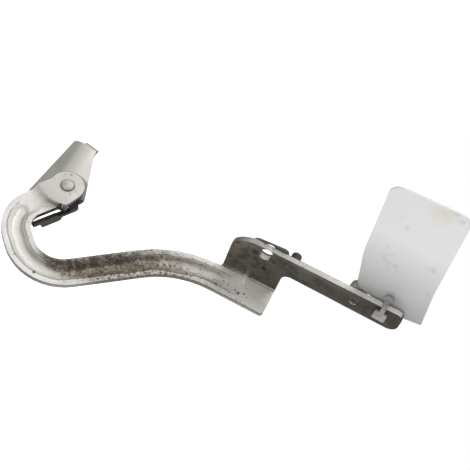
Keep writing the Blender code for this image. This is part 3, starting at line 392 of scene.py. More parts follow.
def zincPlatedSteel(look):
    material, tree, shader, place, facing = newMaterial("zincPlatedSteelPressed")
    names = ("along", "across", *look["zones"])
    stored = addNamed(tree, "ShaderNodeAttribute", {name: {"attribute_name": name} for name in names})
    noises = addNamed(tree, "ShaderNodeTexNoise", look["noises"], {"Vector": place})
    ranges = look["ranges"]
    # tones across the arm, shaken so that smears run along it; both ramps darken the bead's walls and edges as
    # painted shade, and the dirty one is brown with dirt
    span, shake = look["acrossSpan"], look["shake"]
    shaken = addNode(tree, "ShaderNodeMath", {"operation": "MULTIPLY_ADD", 1: 2 * shake},
                     {0: noises["shake"], 2: stored["across"]}).outputs[0]
    unit = addNode(tree, "ShaderNodeMapRange", {"From Min": shake - span, "From Max": shake + span},
                   {"Value": shaken}).outputs[0]
    tones = {}
    for key in ("cleanWithWallShade", "dirtWithWallShade"):
        ramp = addNode(tree, "ShaderNodeValToRGB", None, {"Fac": unit})
        setStops(ramp, [((offset + span) / (2 * span), tone) for offset, tone in look[key]])
        tones[key] = ramp.outputs["Color"]
    cleanWithShade = addNode(tree, "ShaderNodeMix", {"data_type": "RGBA", 6: hexColor(look["rimTone"])},
                    {"Factor": stored["bead"], 7: tones["cleanWithWallShade"]}).outputs[2]
    # share of dirt along the arm, broken up into patches and crumbs
    slanted = addNode(tree, "ShaderNodeMath", {"operation": "MULTIPLY_ADD", 0: look["dirtSlant"]},
                      {1: stored["across"], 2: stored["along"]}).outputs[0]
    delayed = addNode(tree, "ShaderNodeMath", {"operation": "SUBTRACT", 1: look["dirtDelay"]}, {0: slanted}).outputs[0]
    share = addNode(tree, "ShaderNodeMath", {"operation": "DIVIDE", 1: look["alongSpan"]}, {0: delayed}).outputs[0]
    dirt = addNode(tree, "ShaderNodeValToRGB", None, {"Fac": share})
    setStops(dirt, [(length / look["alongSpan"], amount) for length, amount in look["dirtAlong"]])
    broken = addNode(tree, "ShaderNodeMapRange", ranges["broken"], {"Value": noises["patches"]}).outputs[0]
    amount = addNode(tree, "ShaderNodeMath", {"operation": "MULTIPLY", "use_clamp": True},
                     {0: dirt.outputs["Color"], 1: broken}).outputs[0]
    color = addNode(tree, "ShaderNodeMix", {"data_type": "RGBA"},
                    {"Factor": amount, 6: cleanWithShade, 7: tones["dirtWithWallShade"]}).outputs[2]
    # the boss has a tone of its own; the foot is a little darker and the flange's inner face much darker, more so
    # along its strap, all painted shade; a darker patch lies in the fold's inner corner where the foot starts, and the
    # flange has brown-black stains
    stained = addNode(tree, "ShaderNodeMapRange", ranges["stained"], {"Value": noises["stains"]}).outputs[0]
    layers = [(look[name + "Tone"], stored[name]) for name in ("boss", "foot", "flange", "strap", "grime")]
    color = layTones(tree, color, layers + [(look["stainTone"], stained, stored["flange"])])
    ragged = look["spotRagged"] * millimetre
    spots = [(pivot + np.array(middle) * millimetre, radius * millimetre, ragged, tone, strength)
             for middle, radius, tone, strength in look["spots"]]
    color = laySpots(tree, color, place, noises["shake"], spots, look["spotRim"])
    # cut edges are darkened by grime and painted shade, black with painted shadow on the neck's inner edge beside the
    # pivot; the flange's front-facing free edge is darker, and along the strap it keeps the plating's pale tone,
    # painted light where it faces the light; a dark ring of dirt and painted shade stands round the rivet's head
    front = addNode(tree, "ShaderNodeSeparateXYZ", None, {0: facing}).outputs["Y"]
    cut = edgeMask(tree, front, ranges["cut"])
    facingFront = addNode(tree, "ShaderNodeMapRange", ranges["facingFront"], {"Value": front}).outputs[0]
    ring = addNode(tree, "ShaderNodeMapRange", ranges["ring"], {"Value": axisDistance(tree, place)}).outputs[0]
    color = layTones(tree, color, [
        (look["edgeTone"], stored["edge"], cut), (look["greaseTone"], stored["grease"], cut),
        (look["flangeEdgeTone"], facingFront, stored["flange"]),
        (look["strapEdgeTone"], facingFront, stored["flange"], stored["strap"]), (look["greaseTone"], ring)])
    # cloudy, mottled plating
    cloudTone = addNode(tree, "ShaderNodeMapRange", ranges["cloudTone"], {"Value": noises["clouds"]}).outputs[0]
    mottleTone = addNode(tree, "ShaderNodeMapRange", ranges["mottleTone"], {"Value": noises["mottle"]}).outputs[0]
    tone = addNode(tree, "ShaderNodeMath", {"operation": "MULTIPLY"}, {0: cloudTone, 1: mottleTone}).outputs[0]
    color = addNode(tree, "ShaderNodeVectorMath", {"operation": "SCALE"}, {0: color, "Scale": tone}).outputs[0]
    # brown specks and small dark pits, thick where the dirt is
    thick = addNode(tree, "ShaderNodeMath", {"operation": "MULTIPLY_ADD", 1: look["speckDirt"]},
                    {0: dirt.outputs["Color"], 2: noises["specks"]}).outputs[0]
    speckled = addNode(tree, "ShaderNodeMapRange", ranges["speckled"], {"Value": thick}).outputs[0]
    color = layTones(tree, color, [(look["rustTone"], speckled)])
    # dirt and the strap's face are dull
    covered = addNode(tree, "ShaderNodeMath", {"operation": "MAXIMUM"}, {0: amount, 1: stored["strap"]}).outputs[0]
    dull = addNode(tree, "ShaderNodeMapRange", ranges["dull"], {"Value": covered}).outputs[0]
    rough = addNode(tree, "ShaderNodeMath", {"operation": "MULTIPLY_ADD", 1: look["cloudRough"]},
                    {0: noises["clouds"], 2: dull}).outputs[0]
    fine = addNode(tree, "ShaderNodeBump", look["mottleBump"], {"Height": noises["mottle"]}).outputs[0]
    coarse = addNode(tree, "ShaderNodeBump", look["patchBump"],
                     {"Height": noises["patches"], "Normal": fine}).outputs[0]
    setShader(tree, shader, look["surface"], {"Base Color": color, "Roughness": rough, "Normal": coarse})
    return material


def buildArm(look):
    mesh = dressedCopy("hinge_arm", "gooseneckArm", "arm", look["edgeRadius"])
    for name, values in armMasks(lowerCorner(mesh), look["zones"]).items():
        storeValue(mesh, name, values)
    mesh.materials.append(zincPlatedSteel(look))


# ---- bracket: the same plating, greener and darker on the web by painted shade, black with painted shadow on the stop

bracketLook = {
    "earTone": "#C2BEB9",
    # greener and darker: painted shade on the web
    "webTone": "#8E9087",
    # black: painted shadow on the stop, which faces away from the light
    "stopTone": "#0F0D0C",
    # darker: painted shade on the edge rolled back
    "rollTone": "#8B8984",
    # painted shade on the cut edges
    "edgeTone": "#3E3935",
    # dirt and painted shadow round the boss
    "ringTone": "#5E5A54",
    "edgeRadius": 0.4,
    "surface": {"Metallic": 0.15},
    "noises": {
        "clouds": {"Scale": 55.0, "Detail": 5.0, "Roughness": 0.55},  # 18 mm clouds in the plating
        "grain": {"Scale": 420.0, "Detail": 4.0},  # 2.4 mm, as on the arm
    },
    "ranges": {
        "shade": {"From Min": -0.011, "From Max": 0.0, "To Max": 0.8},
        "ring": {"From Min": 0.0188, "From Max": 0.0172, "To Max": 0.8},
        "cut": {"From Min": 0.5, "From Max": 0.2},
        "cloudTone": {"From Min": 0.3, "From Max": 0.7, "To Min": 0.88, "To Max": 1.06},
        "rough": {"To Min": 0.40, "To Max": 0.58},
    },
    "stopRough": 0.35,
    "bump": {"Strength": 0.18, "Distance": 0.0003},
    # mm beyond the fold over which the web's tone starts, and where the stop's lies across and along the neck
    "webFade": 2.9,
    "stopZone": {"across": 9.5, "fade": 1.5, "along": -7},
}

# folded sheet in mm from the pivot: x to the side, z up, depth to the rear
bracketForm = {
    "sheet": 4.0,
    "earFront": 0.5,
    "baseUnder": -28.498,
    "arcStep": np.radians(8),
    "fold": {"level": -9.4, "slant": 11.7, "radius": 3.8, "turn": 41.0},
    "baseRadius": 6.5,
    "base": {"left": -48.5, "right": 21.0, "rear": 61.9, "frontLeft": 18.0, "frontRight": 34.0, "corner": 6.0},
    "baseHoles": {"spread": 20.0, "depth": 42.0, "radius": 4.5, "middle": -10.5},
    "pivotHole": 5.0,
    # corners are (x, z, radius); the shoulder stands at the base's right and has no x
    "shoulder": (-19.0, 4.0),
    "notch": (4.2, -17.6, 1.2),
    "ear": {"left": -45.3, "round": 14.6, "from": -78.0, "to": 20.0,
            "crest": (-2.5, 16.2, 6.0), "slope": (-41.5, -4.5, 3.0)},
    "roll": {"tip": -49.8, "top": -5.5, "low": -17.4, "corner": 1.5, "radius": 2.5, "turn": 80.0, "relief": 0.6},
    "webCorner": 2.0,
    "neckHeading": -22.6,
    "stop": {"fold": 11.8, "root": (-2.0, 5.0), "relief": (1.0, 2.6), "radius": 3.0, "step": 15.5, "lowFront": 4.7,
             "front": 3.3, "middle": (12.5, 30.5), "shallow": 7.6, "nose": 6.4, "depth": 11.8, "end": 38.2,
             "corner": 2.6, "fillet": 1.5},
}
smallest = 0.01      # mm; an outline's shorter steps are left out


def zincPlatedBracket(look):
    material, tree, shader, place, facing = newMaterial("zincPlatedSteelFolded")
    names = ("web", "roll", "stop")
    stored = addNamed(tree, "ShaderNodeAttribute", {name: {"attribute_name": name} for name in names})
    noises = addNamed(tree, "ShaderNodeTexNoise", look["noises"], {"Vector": place})
    ranges = look["ranges"]
    color = addNode(tree, "ShaderNodeRGB").outputs[0]
    color.default_value = hexColor(look["earTone"])
    # painted shade, olive, on the ear's last 11 mm before the web's fold
    foldStart, foldAngle = bracketFolds(bracketForm)["web"][:2]
    foldMiddle = pivot + np.array([foldStart[0], 0, foldStart[1]]) * millimetre
    outward = headingVector(foldAngle + np.pi / 2)
    offset = addNode(tree, "ShaderNodeVectorMath", {"operation": "SUBTRACT", 1: tuple(foldMiddle)},
                     {0: place}).outputs[0]
    beyond = addNode(tree, "ShaderNodeVectorMath", {"operation": "DOT_PRODUCT", 1: (outward[0], 0.0, outward[1])},
                     {0: offset}).outputs["Value"]
    shade = addNode(tree, "ShaderNodeMapRange", ranges["shade"], {"Value": beyond}).outputs[0]
    # a ring of dirt and painted shadow round the boss's rim, up to 18 mm from the pivot
    ring = addNode(tree, "ShaderNodeMapRange", ranges["ring"], {"Value": axisDistance(tree, place)}).outputs[0]
    # black painted shade along the ear's cut edges, which face sideways
    front = addNode(tree, "ShaderNodeSeparateXYZ", None, {0: facing}).outputs["Y"]
    cut = edgeMask(tree, front, ranges["cut"])
    # the web's and the roll's tones are painted shade, the stop's is black painted shadow
    zones = [(look[name + "Tone"], mask) for name, mask in stored.items()]
    color = layTones(tree, color, [(look["webTone"], shade), (look["ringTone"], ring), *zones, (look["edgeTone"], cut)])
    tone = addNode(tree, "ShaderNodeMapRange", ranges["cloudTone"], {"Value": noises["clouds"]}).outputs[0]
    color = addNode(tree, "ShaderNodeVectorMath", {"operation": "SCALE"}, {0: color, "Scale": tone}).outputs[0]
    cloudy = addNode(tree, "ShaderNodeMapRange", ranges["rough"], {"Value": noises["clouds"]}).outputs[0]
    rough = addNode(tree, "ShaderNodeMath", {"operation": "MULTIPLY_ADD", 1: look["stopRough"], "use_clamp": True},
                    {0: stored["stop"], 2: cloudy}).outputs[0]
    bump = addNode(tree, "ShaderNodeBump", look["bump"], {"Height": noises["grain"]}).outputs[0]
    setShader(tree, shader, look["surface"], {"Base Color": color, "Roughness": rough, "Normal": bump})
    return material


def arcPoints(centre, radius, first, sweep):
    # points on an arc from the first angle over the sweep
    steps = max(2, int(np.ceil(abs(sweep) / bracketForm["arcStep"])))
    angles = first + sweep * np.linspace(0, 1, steps + 1)
    return np.asarray(centre) + radius * np.stack([np.cos(angles), np.sin(angles)], 1)


def roundedPath(corners):
    # a path whose corners (x, z, radius) become arcs that touch both sides
    points = [np.array([corners[0][:2]], float)]
    for before, corner, after in zip(corners, corners[1:], corners[2:]):
        radius = corner[2]
        before, corner, after = (np.array(point[:2], float) for point in (before, corner, after))
        if radius == 0:
            points.append(corner[None])
            continue
        inward = (before - corner) / np.linalg.norm(before - corner)
        outward = (after - corner) / np.linalg.norm(after - corner)
        half = np.arccos(np.clip(inward @ outward, -1, 1)) / 2
        bisector = (inward + outward) / np.linalg.norm(inward + outward)
        centre = corner + bisector * radius / np.sin(half)
        first = corner + inward * radius / np.tan(half) - centre
        last = corner + outward * radius / np.tan(half) - centre
        sweep = np.arctan2(first[0] * last[1] - first[1] * last[0], first @ last)
        points.append(arcPoints(centre, radius, np.arctan2(first[1], first[0]), sweep))
    points.append(np.array([corners[-1][:2]], float))
    return np.concatenate(points)


def bentPoints(points, origin, heading, radius, turn):
    # points (x, z, lift) folded back on the left of a line: round the bend, then straight on
    s, n = unturnedPoints(points[:, :2], origin, heading)
    angle = np.clip(n / radius, 0, turn)
    beyond = np.maximum(n - radius * turn, 0)
    across = np.minimum(n, 0) + radius * np.sin(angle) + beyond * np.cos(angle) + points[:, 2] * np.sin(angle)
    lift = points[:, 2] * np.cos(angle) - radius * (1 - np.cos(angle)) - beyond * np.sin(angle)
    return np.column_stack([turnedPoints(np.stack([s, across], 1), origin, heading), lift])


def bracketFolds(form):
    # the web's fold slants across the ear; the base's fold is where the slanted web meets the level base
    slant, turn = np.radians(form["fold"]["slant"]), np.radians(form["fold"]["turn"])
    radius, second = form["fold"]["radius"], form["baseRadius"]
    webHeading = np.pi + slant
    baseTurn = np.arccos(np.sin(turn) * np.cos(slant))
    baseHeading = webHeading - np.arctan2(np.sin(slant), np.cos(turn) * np.cos(slant))
    fall = form["fold"]["level"] - form["baseUnder"] - form["sheet"] / 2 - radius * np.tan(turn / 2) * np.cos(slant)
    length = fall / (np.cos(turn) * np.cos(slant))
    down = headingVector(webHeading + np.pi / 2)
    origin = np.array([0.0, form["fold"]["level"]])
    meets = origin + down * (radius * turn - radius * np.tan(turn / 2) + length)
    baseOrigin = meets - headingVector(baseHeading + np.pi / 2) * second * np.tan(baseTurn / 2)
    cornerDepth = length * np.sin(turn) + form["earFront"] + form["sheet"] / 2
    corner = (down[0] * (radius * np.tan(turn / 2) + length * np.cos(turn)), cornerDepth)
    return {"web": (origin, webHeading, radius, turn), "base": (baseOrigin, baseHeading, second, baseTurn),
            "corner": corner, "planSlant": np.arctan(np.tan(turn) * np.sin(slant))}


def baseBlank(folds, x, depth):
    # place on the flat blank of a point of the level base
    origin, heading, radius, turn = folds["base"]
    s, n = unturnedPoints(np.array([[x, depth]]), folds["corner"], folds["planSlant"])
    spread = radius * turn - radius * np.tan(turn / 2)
    return turnedPoints(np.column_stack([-s, n + spread]), origin, heading)[0]


def stopPath(stop):
    # outline of the stop tab, along and across the neck
    fillet, corner, fold, (rootLow, rootHigh) = stop["fillet"], stop["corner"], stop["fold"], stop["root"]
    middleLow, middleHigh = stop["middle"]
    lowFront, front, shallow, nose, depth = (
        fold + stop[key] for key in ("lowFront", "front", "shallow", "nose", "depth"))
    return roundedPath([
        (rootHigh, fold - fillet, 0), (rootHigh, lowFront, fillet), (stop["step"], lowFront, fillet),
        (stop["step"] + fillet, front, fillet), (stop["end"], front, fillet), (stop["end"], nose, fillet),
        (middleHigh, nose, fillet), (middleHigh, depth, corner), (middleLow, depth, corner),
        (middleLow, shallow, fillet), (rootLow, shallow, corner), (rootLow, fold - fillet, 0),
        (rootLow - stop["relief"][0], fold + stop["relief"][1], 0)])


def bracketBlank(form, folds):
    # outline of the blank: base, right side, round ear, stop tab, crest, rolled tab and left side
    ear, roll, base = form["ear"], form["roll"], form["base"]
    tab = turnedPoints(stopPath(form["stop"]), (0, 0), np.radians(form["neckHeading"]))
    roundFrom, roundTo = np.radians(ear["from"]), np.radians(ear["to"])
    earRound = arcPoints((0, 0), ear["round"], roundFrom, roundTo - roundFrom)
    rearRight, rearLeft = (baseBlank(folds, base[side], base["rear"]) for side in ("right", "left"))
    frontRight = baseBlank(folds, base["right"], base["frontRight"])
    frontLeft = baseBlank(folds, base["left"], base["frontLeft"])
    middle = (rearRight + rearLeft) / 2
    right = [(*middle, 0), (*rearRight, base["corner"]), (*frontRight, base["corner"]),
             (base["right"], *form["shoulder"]), form["notch"], (*earRound[0], 0)]
    foldLeft = form["fold"]["level"] + ear["left"] * np.tan(np.radians(form["fold"]["slant"]))
    left = [(*tab[-1], 0), ear["crest"], ear["slope"], (ear["left"], roll["top"], roll["relief"]),
            (roll["tip"], roll["top"], roll["corner"]), (roll["tip"], roll["low"], roll["corner"]),
            (ear["left"], roll["low"], roll["relief"]), (ear["left"], foldLeft, form["webCorner"]),
            (*frontLeft, base["corner"]), (*rearLeft, base["corner"]), (*middle, 0)]
    outline = np.concatenate([roundedPath(right), earRound, tab, roundedPath(left)])
    return outline[np.linalg.norm(outline - np.roll(outline, 1, 0), axis=1) > smallest]


def insideLoop(points, loop):
    # a point is inside where a ray to its right crosses the loop an odd number of times
    x, z = points[:, :1], points[:, 1:]
    after = np.roll(loop, -1, 0)
    crosses = (loop[:, 1] > z) != (after[:, 1] > z)
    rise = after[:, 1] - loop[:, 1]
    at = loop[:, 0] + (z - loop[:, 1]) * (after[:, 0] - loop[:, 0]) / np.where(rise == 0, 1e-9, rise)
    return (crosses & (x < at)).sum(1) % 2 == 1


def blankTriangles(outline, holes, lines):
    # triangles of the flat blank that keep its outline, its holes and its fold lines
    points, edges = [], []
    for path, closed in [(loop, True) for loop in [outline] + holes] + [(line, False) for line in lines]:
        first, count = len(points), len(path)
        points += [Vector(point) for point in path]
        edges += [(first + step, first + (step + 1) % count) for step in range(count if closed else count - 1)]
    found, _, faces, _, _, _ = delaunay_2d_cdt(points, edges, [], 0, 1e-5, False)
    flat = np.array([tuple(point) for point in found])
    faces = np.array([tuple(face) for face in faces])
    middles = flat[faces].mean(1)
    kept = insideLoop(middles, outline)
    for hole in holes:
        kept &= ~insideLoop(middles, hole)
    used, faces = np.unique(faces[kept], return_inverse=True)
    return flat[used], faces.reshape(-1, 3)


def foldLines(origin, heading, radius, turn, low, high):
    # seven lines round a bend, with stations along each, that let the sheet fold smoothly
    stations = np.linspace(low, high, 13)
    return [turnedPoints(np.stack([stations, np.full_like(stations, across)], 1), origin, heading)
            for across in np.linspace(0, radius * turn, 7)]


def flatBlank(form, folds, roll, stop):
    # points and triangles of the flat blank with its holes; the fold lines reach past its edges
    base, holes = form["base"], form["baseHoles"]
    rounds = [((0, 0), form["pivotHole"])]
    for side in (-1, 1):
        centre = baseBlank(folds, side * holes["spread"] + holes["middle"], holes["depth"])
        rounds.append((centre, holes["radius"]))
    loops = [arcPoints(centre, radius, 0, 2 * np.pi)[:-1] for centre, radius in rounds]
    lines = foldLines(*folds["web"], -base["right"] - 1, -base["left"] + 1)
    lines += foldLines(*folds["base"], 2 * base["left"], -2 * base["left"])
    lines += foldLines(*roll, form["roll"]["low"] - 1, form["roll"]["top"] + 1)
    lines += foldLines(*stop, form["stop"]["root"][0] - 1, form["stop"]["end"] + 1)
    return blankTriangles(bracketBlank(form, folds), loops, lines)


def thickFaces(faces, count):
    # the blank's triangles on both sides, and a quad on each edge that only one triangle has
    directed = np.concatenate([faces[:, [0, 1]], faces[:, [1, 2]], faces[:, [2, 0]]]).tolist()
    seen = {tuple(edge) for edge in directed}
    rim = sorted((a, a + count, b + count, b) for a, b in seen if (b, a) not in seen)
    return faces.tolist() + (faces[:, ::-1] + count).tolist() + rim


def buildBracket(form, look):
    # both sides of the flat blank, folded at the web and base, or at the roll, or at the stop
    folds = bracketFolds(form)
    neck = np.radians(form["neckHeading"])
    roll = ((form["ear"]["left"], 0.0), np.pi / 2, form["roll"]["radius"], np.radians(form["roll"]["turn"]))
    stopFold = turnedPoints([(0.0, form["stop"]["fold"])], (0, 0), neck)[0]
    stop = (stopFold, neck, form["stop"]["radius"], np.pi / 2)
    flat, faces = flatBlank(form, folds, roll, stop)
    along, across = unturnedPoints(flat, (0, 0), neck)
    rolls = (flat[:, 0] < form["ear"]["left"]) & (flat[:, 1] > form["roll"]["low"] - 0.001)
    stops = (across > form["stop"]["fold"]) & (along > form["stop"]["root"][0] - 0.001)
    sides = []
    for lift in (form["sheet"] / 2, -form["sheet"] / 2):
        points = np.column_stack([flat, np.full(len(flat), lift)])
        webbed = bentPoints(bentPoints(points, *folds["base"]), *folds["web"])
        tabbed = np.where(stops[:, None], bentPoints(points, *stop), webbed)
        points = np.where(rolls[:, None], bentPoints(points, *roll), tabbed)
        depth = form["earFront"] + form["sheet"] / 2 - points[:, 2]
        sides.append(np.stack([points[:, 0], depth, points[:, 1]], 1) * millimetre + pivot)
    mesh = bpy.data.meshes.new("bodyBracket")
    mesh.from_pydata(np.concatenate(sides).tolist(), [], thickFaces(faces, len(flat)))
    shape = bmesh.new()
    shape.from_mesh(mesh)
    bmesh.ops.recalc_face_normals(shape, faces=shape.faces)
    shape.to_mesh(mesh)
    shape.free()
    beyond = unturnedPoints(flat, *folds["web"][:2])[1]
    zone = look["stopZone"]
    masks = {"web": fadeIn(beyond, 0, look["webFade"]) * ~rolls * ~stops,
             "stop": fadeIn(across, zone["across"], zone["fade"]) * (along > zone["along"]),
             "roll": rolls.astype(float)}
    for name, values in masks.items():
        storeValue(mesh, name, np.tile(values, 2))
    finishPiece(addObject("bodyBracket", mesh), "body_bracket", "bracket", look["edgeRadius"])
    mesh.materials.append(zincPlatedBracket(look))


# ---- small pieces: plain surfaces, clouded by wear on metal and plastic and by dust on rubber

# 3 mm clouds of wear
wear = {"noise": {"Scale": 300.0, "Detail": 4.0}, "range": {"From Min": 0.35, "From Max": 0.65},
        "bump": {"Strength": 0.2, "Distance": 0.0003}, "metallic": 0.2, "edgeRadius": 0.25}
# 7 mm clouds of dust; the share of it is each piece's own
dust = {"noise": {"Scale": 150.0, "Detail": 6.0, "Roughness": 0.65},
        "bump": {"Strength": 0.3, "Distance": 0.0004}, "metallic": 0.0, "roughness": 0.75}

# cold-headed steel: satin, a little darker where it is worn
rivetLook = {**wear, "material": "coldHeadedSteel", "tone": "#B4AFAA", "cloudTone": "#9C968F", "roughness": 0.55}
# zinc-plated steel: paler and a little glossier
washerLook = {**wear, "material": "zincPlatedWasher", "tone": "#BDB9B2", "cloudTone": "#A5A199", "roughness": 0.45}
# sintered bronze: dull yellow-brown, darkened by its oil
bushLook = {**wear, "material": "sinteredBronze", "tone": "#8A7658", "cloudTone": "#6E5D45", "roughness": 0.5}
# turned steel: black with old grease, dull
pinLook = {**wear, "material": "turnedPinSteel", "tone": "#24221F", "cloudTone": "#191715", "roughness": 0.7}
# moulded black rubber: matt, greyed by dust; the buffer is browner and dustier
padLook = {**dust, "material": "mouldedPadRubber", "edgeRadius": 0.3, "tone": "#2B2927", "cloudTone": "#6B675F",
           "range": {"From Min": 0.35, "From Max": 0.7, "To Max": 0.6}}
bufferLook = {**dust, "material": "mouldedBufferRubber", "edgeRadius": 0.4, "tone": "#4B463F", "cloudTone": "#7A7469",
              "range": {"From Min": 0.35, "From Max": 0.7, "To Max": 0.7}}
# moulded natural plastic: half matt, grey with grime
clipLook = {**wear, "material": "mouldedClipPlastic", "edgeRadius": 0.3, "tone": "#9B9B96", "cloudTone": "#83837D",
            "metallic": 0.0, "roughness": 0.5}


def cloudedSurface(look):
    # a plain tone that turns to its wear's or dust's tone in clouds, which also lift the surface
    material, tree, shader, place, _ = newMaterial(look["material"])
    clouds = addNode(tree, "ShaderNodeTexNoise", look["noise"], {"Vector": place}).outputs["Fac"]
    factor = addNode(tree, "ShaderNodeMapRange", look["range"], {"Value": clouds}).outputs[0]
    tones = {6: hexColor(look["tone"]), 7: hexColor(look["cloudTone"])}
    color = addNode(tree, "ShaderNodeMix", {"data_type": "RGBA", **tones}, {"Factor": factor}).outputs[2]
    bump = addNode(tree, "ShaderNodeBump", look["bump"], {"Height": clouds}).outputs[0]
    values = {"Metallic": look["metallic"], "Roughness": look["roughness"]}
    setShader(tree, shader, values, {"Base Color": color, "Normal": bump})
    return material


def buildPiece(nodeName, pieceName, body, look, surface=cloudedSurface):
    mesh = dressedCopy(nodeName, pieceName, body, look["edgeRadius"])
    mesh.materials.append(surface(look))
    return mesh


# ---- guard: injection-moulded natural polyethylene; milky white, soft gloss, a little grime

guardLook = {
    # from top to clipped lower edge; the greyer lower edge is partly painted shade
    "topTone": "#F4F5F5",
    "lowTone": "#A6A8A7",
    "edgeTone": "#9FA1A2",
    "smudgeTone": "#8E8A82",
    "yellowTone": "#D8CFA6",
    # smudges: mm along the foot's heading, mm over the leaning plate from where it starts, radius, strength
    "smudges": ((103.9, 61.5, 2.0, 0.5), (109.3, 56.2, 2.2, 0.5), (107.9, 86.4, 2.4, 0.35), (120.2, 81.8, 2.0, 0.3),
                (123.2, 71.3, 1.6, 0.5), (119.4, 55.5, 1.8, 0.4), (106.9, 81.1, 1.6, 0.35), (128.1, 82.0, 1.4, 0.3)),
    "yellow": (126.0, 113.0, 9.0, 0.35),
    "spotRagged": 1.2,           # share of the radius
    "spotRim": (1.3, 0.2),
    # the plate in mm and degrees: left of the foot, in front of the pivot's plane, its lean, and where it faces
    "plate": {"left": 20.8, "front": 38.0, "lean": 8.0, "face": (0.976, -0.139, 0.163)},
    "edgeRadius": 0.5,
    "surface": {"Roughness": 0.42, "Subsurface Weight": 0.12, "Subsurface Scale": 0.002},
    "noises": {
        "smears": {"Scale": 42.0, "Detail": 6.0, "Roughness": 0.62},  # 24 mm smears of grime
        "shake": {"Scale": 160.0, "Detail": 4.0, "Roughness": 0.7},  # 6 mm rags on the smudges' rims
        "peel": {"Scale": 260.0, "Detail": 3.0},  # 4 mm waves of the moulded face
    },
    "ranges": {
        "grey": {"From Min": -0.078, "From Max": -0.150},        # y in metres
        "smeared": {"From Min": 0.60, "From Max": 0.72, "To Max": 0.35},
        "rim": {"From Min": 0.95, "From Max": 0.6, "To Max": 0.8},
    },
    "bump": {"Strength": 0.10, "Distance": 0.0004},
}


def platePlace(plate, along, rise):
    # metres of a place on the leaning plate
    lean = np.radians(plate["lean"])
    outward = (along, plate["left"] + rise * np.sin(lean))
    flat = turnedPoints(outward, footLine["start"], np.radians(footLine["heading"]))[0]
    return pivot + np.array([flat[0], -plate["front"] - rise * np.cos(lean), flat[1]]) * millimetre


def naturalPolyethylene(look):
    material, tree, shader, place, facing = newMaterial("naturalPolyethyleneMoulded")
    noises = addNamed(tree, "ShaderNodeTexNoise", look["noises"], {"Vector": place})
    ranges = look["ranges"]
    # the plate greys towards its clipped lower edge, partly its own tone and partly painted shade
    depth = addNode(tree, "ShaderNodeSeparateXYZ", None, {0: place}).outputs["Y"]
    grey = addNode(tree, "ShaderNodeMapRange", ranges["grey"], {"Value": depth}).outputs[0]
    tones = {6: hexColor(look["lowTone"]), 7: hexColor(look["topTone"])}
    color = addNode(tree, "ShaderNodeMix", {"data_type": "RGBA", **tones}, {"Factor": grey}).outputs[2]
    smeared = addNode(tree, "ShaderNodeMapRange", ranges["smeared"], {"Value": noises["smears"]}).outputs[0]
    color = layTones(tree, color, [(look["smudgeTone"], smeared)])
    marks = [(*mark, look["smudgeTone"]) for mark in look["smudges"]] + [(*look["yellow"], look["yellowTone"])]
    spots = [(platePlace(look["plate"], along, rise), radius * millimetre, look["spotRagged"] * radius * millimetre,
              tone, strength) for along, rise, radius, strength, tone in marks]
    color = laySpots(tree, color, place, noises["shake"], spots, look["spotRim"])
    # the plate's cut edges look greyer
    straight = addNode(tree, "ShaderNodeVectorMath", {"operation": "DOT_PRODUCT", 1: look["plate"]["face"]},
                       {0: facing}).outputs["Value"]
    color = layTones(tree, color, [(look["edgeTone"], edgeMask(tree, straight, ranges["rim"]))])
    bump = addNode(tree, "ShaderNodeBump", look["bump"], {"Height": noises["peel"]}).outputs[0]
    setShader(tree, shader, look["surface"], {"Base Color": color, "Normal": bump})
    return material


# ---- stage: camera, lamps, floor and background

stageLook = {
    # the camera's place and its own three directions
    "camera": (0.5065, -0.8592, 0.3037),
    "right": (-0.5489, -0.2239, 0.8054),
    "up": (-0.6263, -0.5281, -0.5736),
    "back": (0.5537, -0.8192, 0.1496),
    "lens": 95.74,
    "sensor": 36.0,
    "clip": (0.05, 20.0),
    "aim": (-0.02, -0.06, 0.15),
    # name, direction from the aim, distance, size, watts
    "lamps": (("keySoftbox", (-0.70, -0.70, 0.05), 1.5, 1.1, 19.0),
              ("frontFill", (0.35, -0.90, 0.15), 1.8, 1.4, 9.0),
              ("backFill", (0.30, 0.85, 0.45), 1.8, 1.4, 12.0)),
    "floorLevel": -0.14,
    "floorHalf": 6.0,
    "floorTone": "#F2F2F2",
    "floorRoughness": 0.9,
    "floorGlow": 0.62,           # added where the camera sees the floor, so that it joins the background
    "ambient": 0.50,
}


def buildCamera(look):
    camera = bpy.data.cameras.new("camera")
    camera.lens = look["lens"]
    camera.sensor_width = look["sensor"]
    camera.clip_start, camera.clip_end = look["clip"]
    cameraObject = addObject("camera", camera)
    turn = Matrix((look["right"], look["up"], look["back"])).transposed()
    cameraObject.matrix_world = Matrix.Translation(look["camera"]) @ turn.to_4x4()
    bpy.context.scene.camera = cameraObject


def buildLamps(look):
    aim = Vector(look["aim"])
    for name, direction, distance, size, watts in look["lamps"]:
        lamp = bpy.data.lights.new(name, "AREA")
        lamp.shape = "SQUARE"
        lamp.size = size
        lamp.energy = watts
        lampObject = addObject(name, lamp)
        outward = Vector(direction).normalized()
        lampObject.location = aim + outward * distance
        lampObject.rotation_euler = outward.to_track_quat("Z", "Y").to_euler()


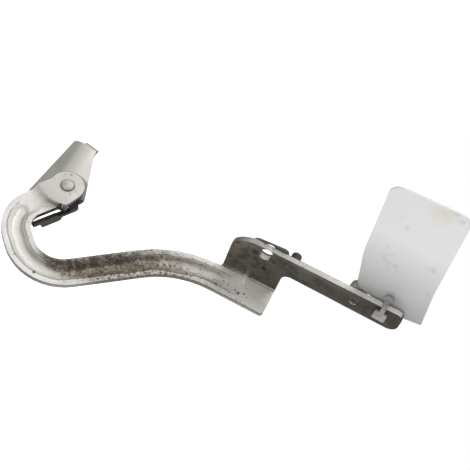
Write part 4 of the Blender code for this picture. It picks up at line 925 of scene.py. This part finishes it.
def buildFloor(look):
    # one large pale square whose far edge the background meets
    half, level = look["floorHalf"], look["floorLevel"]
    mesh = bpy.data.meshes.new("floor")
    corners = [(-half, -half), (half, -half), (half, half), (-half, half)]
    mesh.from_pydata([(x, y, level) for x, y in corners], [], [(0, 1, 2, 3)])
    material, tree, shader, _, _ = newMaterial("paintedFloor")
    setShader(tree, shader, {"Base Color": hexColor(look["floorTone"]), "Roughness": look["floorRoughness"]}, {})
    seen = addNode(tree, "ShaderNodeLightPath").outputs["Is Camera Ray"]
    strength = addNode(tree, "ShaderNodeMath", {"operation": "MULTIPLY", 1: look["floorGlow"]}, {0: seen}).outputs[0]
    glow = addNode(tree, "ShaderNodeEmission", {"Color": (1, 1, 1, 1)}, {"Strength": strength}).outputs[0]
    both = addNode(tree, "ShaderNodeAddShader", None, {0: shader.outputs[0], 1: glow}).outputs[0]
    tree.links.new(both, tree.nodes["Material Output"].inputs["Surface"])
    mesh.materials.append(material)
    addObject("floor", mesh)


def buildWorld(look):
    # white where the background is seen, mirrored or seen through; dimmer where it lights the pieces
    world = bpy.data.worlds.new("studio")
    world.use_nodes = True
    bpy.context.scene.world = world
    tree = world.node_tree
    rays = addNode(tree, "ShaderNodeLightPath").outputs
    seen = rays["Is Camera Ray"]
    for name in ("Is Glossy Ray", "Is Transmission Ray"):
        seen = addNode(tree, "ShaderNodeMath", {"operation": "MAXIMUM"}, {0: seen, 1: rays[name]}).outputs[0]
    strength = addNode(tree, "ShaderNodeMapRange", {"To Min": look["ambient"], "To Max": 1.0},
                       {"Value": seen}).outputs[0]
    background = tree.nodes["Background"]
    background.inputs["Color"].default_value = (1, 1, 1, 1)
    tree.links.new(strength, background.inputs["Strength"])
    bpy.context.scene.view_settings.view_transform = "Standard"


buildArm(armLook)
print("arm dressed")
buildBracket(bracketForm, bracketLook)
print("bracket folded")
buildPiece("pivot_rivet", "pivotRivet", "bracket", rivetLook)
buildPiece("rear_washer", "rearWasher", "bracket", washerLook)
buildPiece("pivot_bush", "pivotBush", "arm", bushLook)
buildPiece("locating_pin", "locatingPin", "arm", pinLook)
print("pivot dressed")
lowerCorner(buildPiece("flange_pad", "flangePad", "arm", padLook))
buildPiece("rubber_buffer", "rubberBuffer", "arm", bufferLook)
buildPiece("guard_plate", "guardPlate", "arm", guardLook, naturalPolyethylene)
buildPiece("guard_clip", "guardClip", "arm", clipLook)
print("flange fittings dressed")
buildCamera(stageLook)
buildLamps(stageLook)
buildFloor(stageLook)
buildWorld(stageLook)
print("stage set")
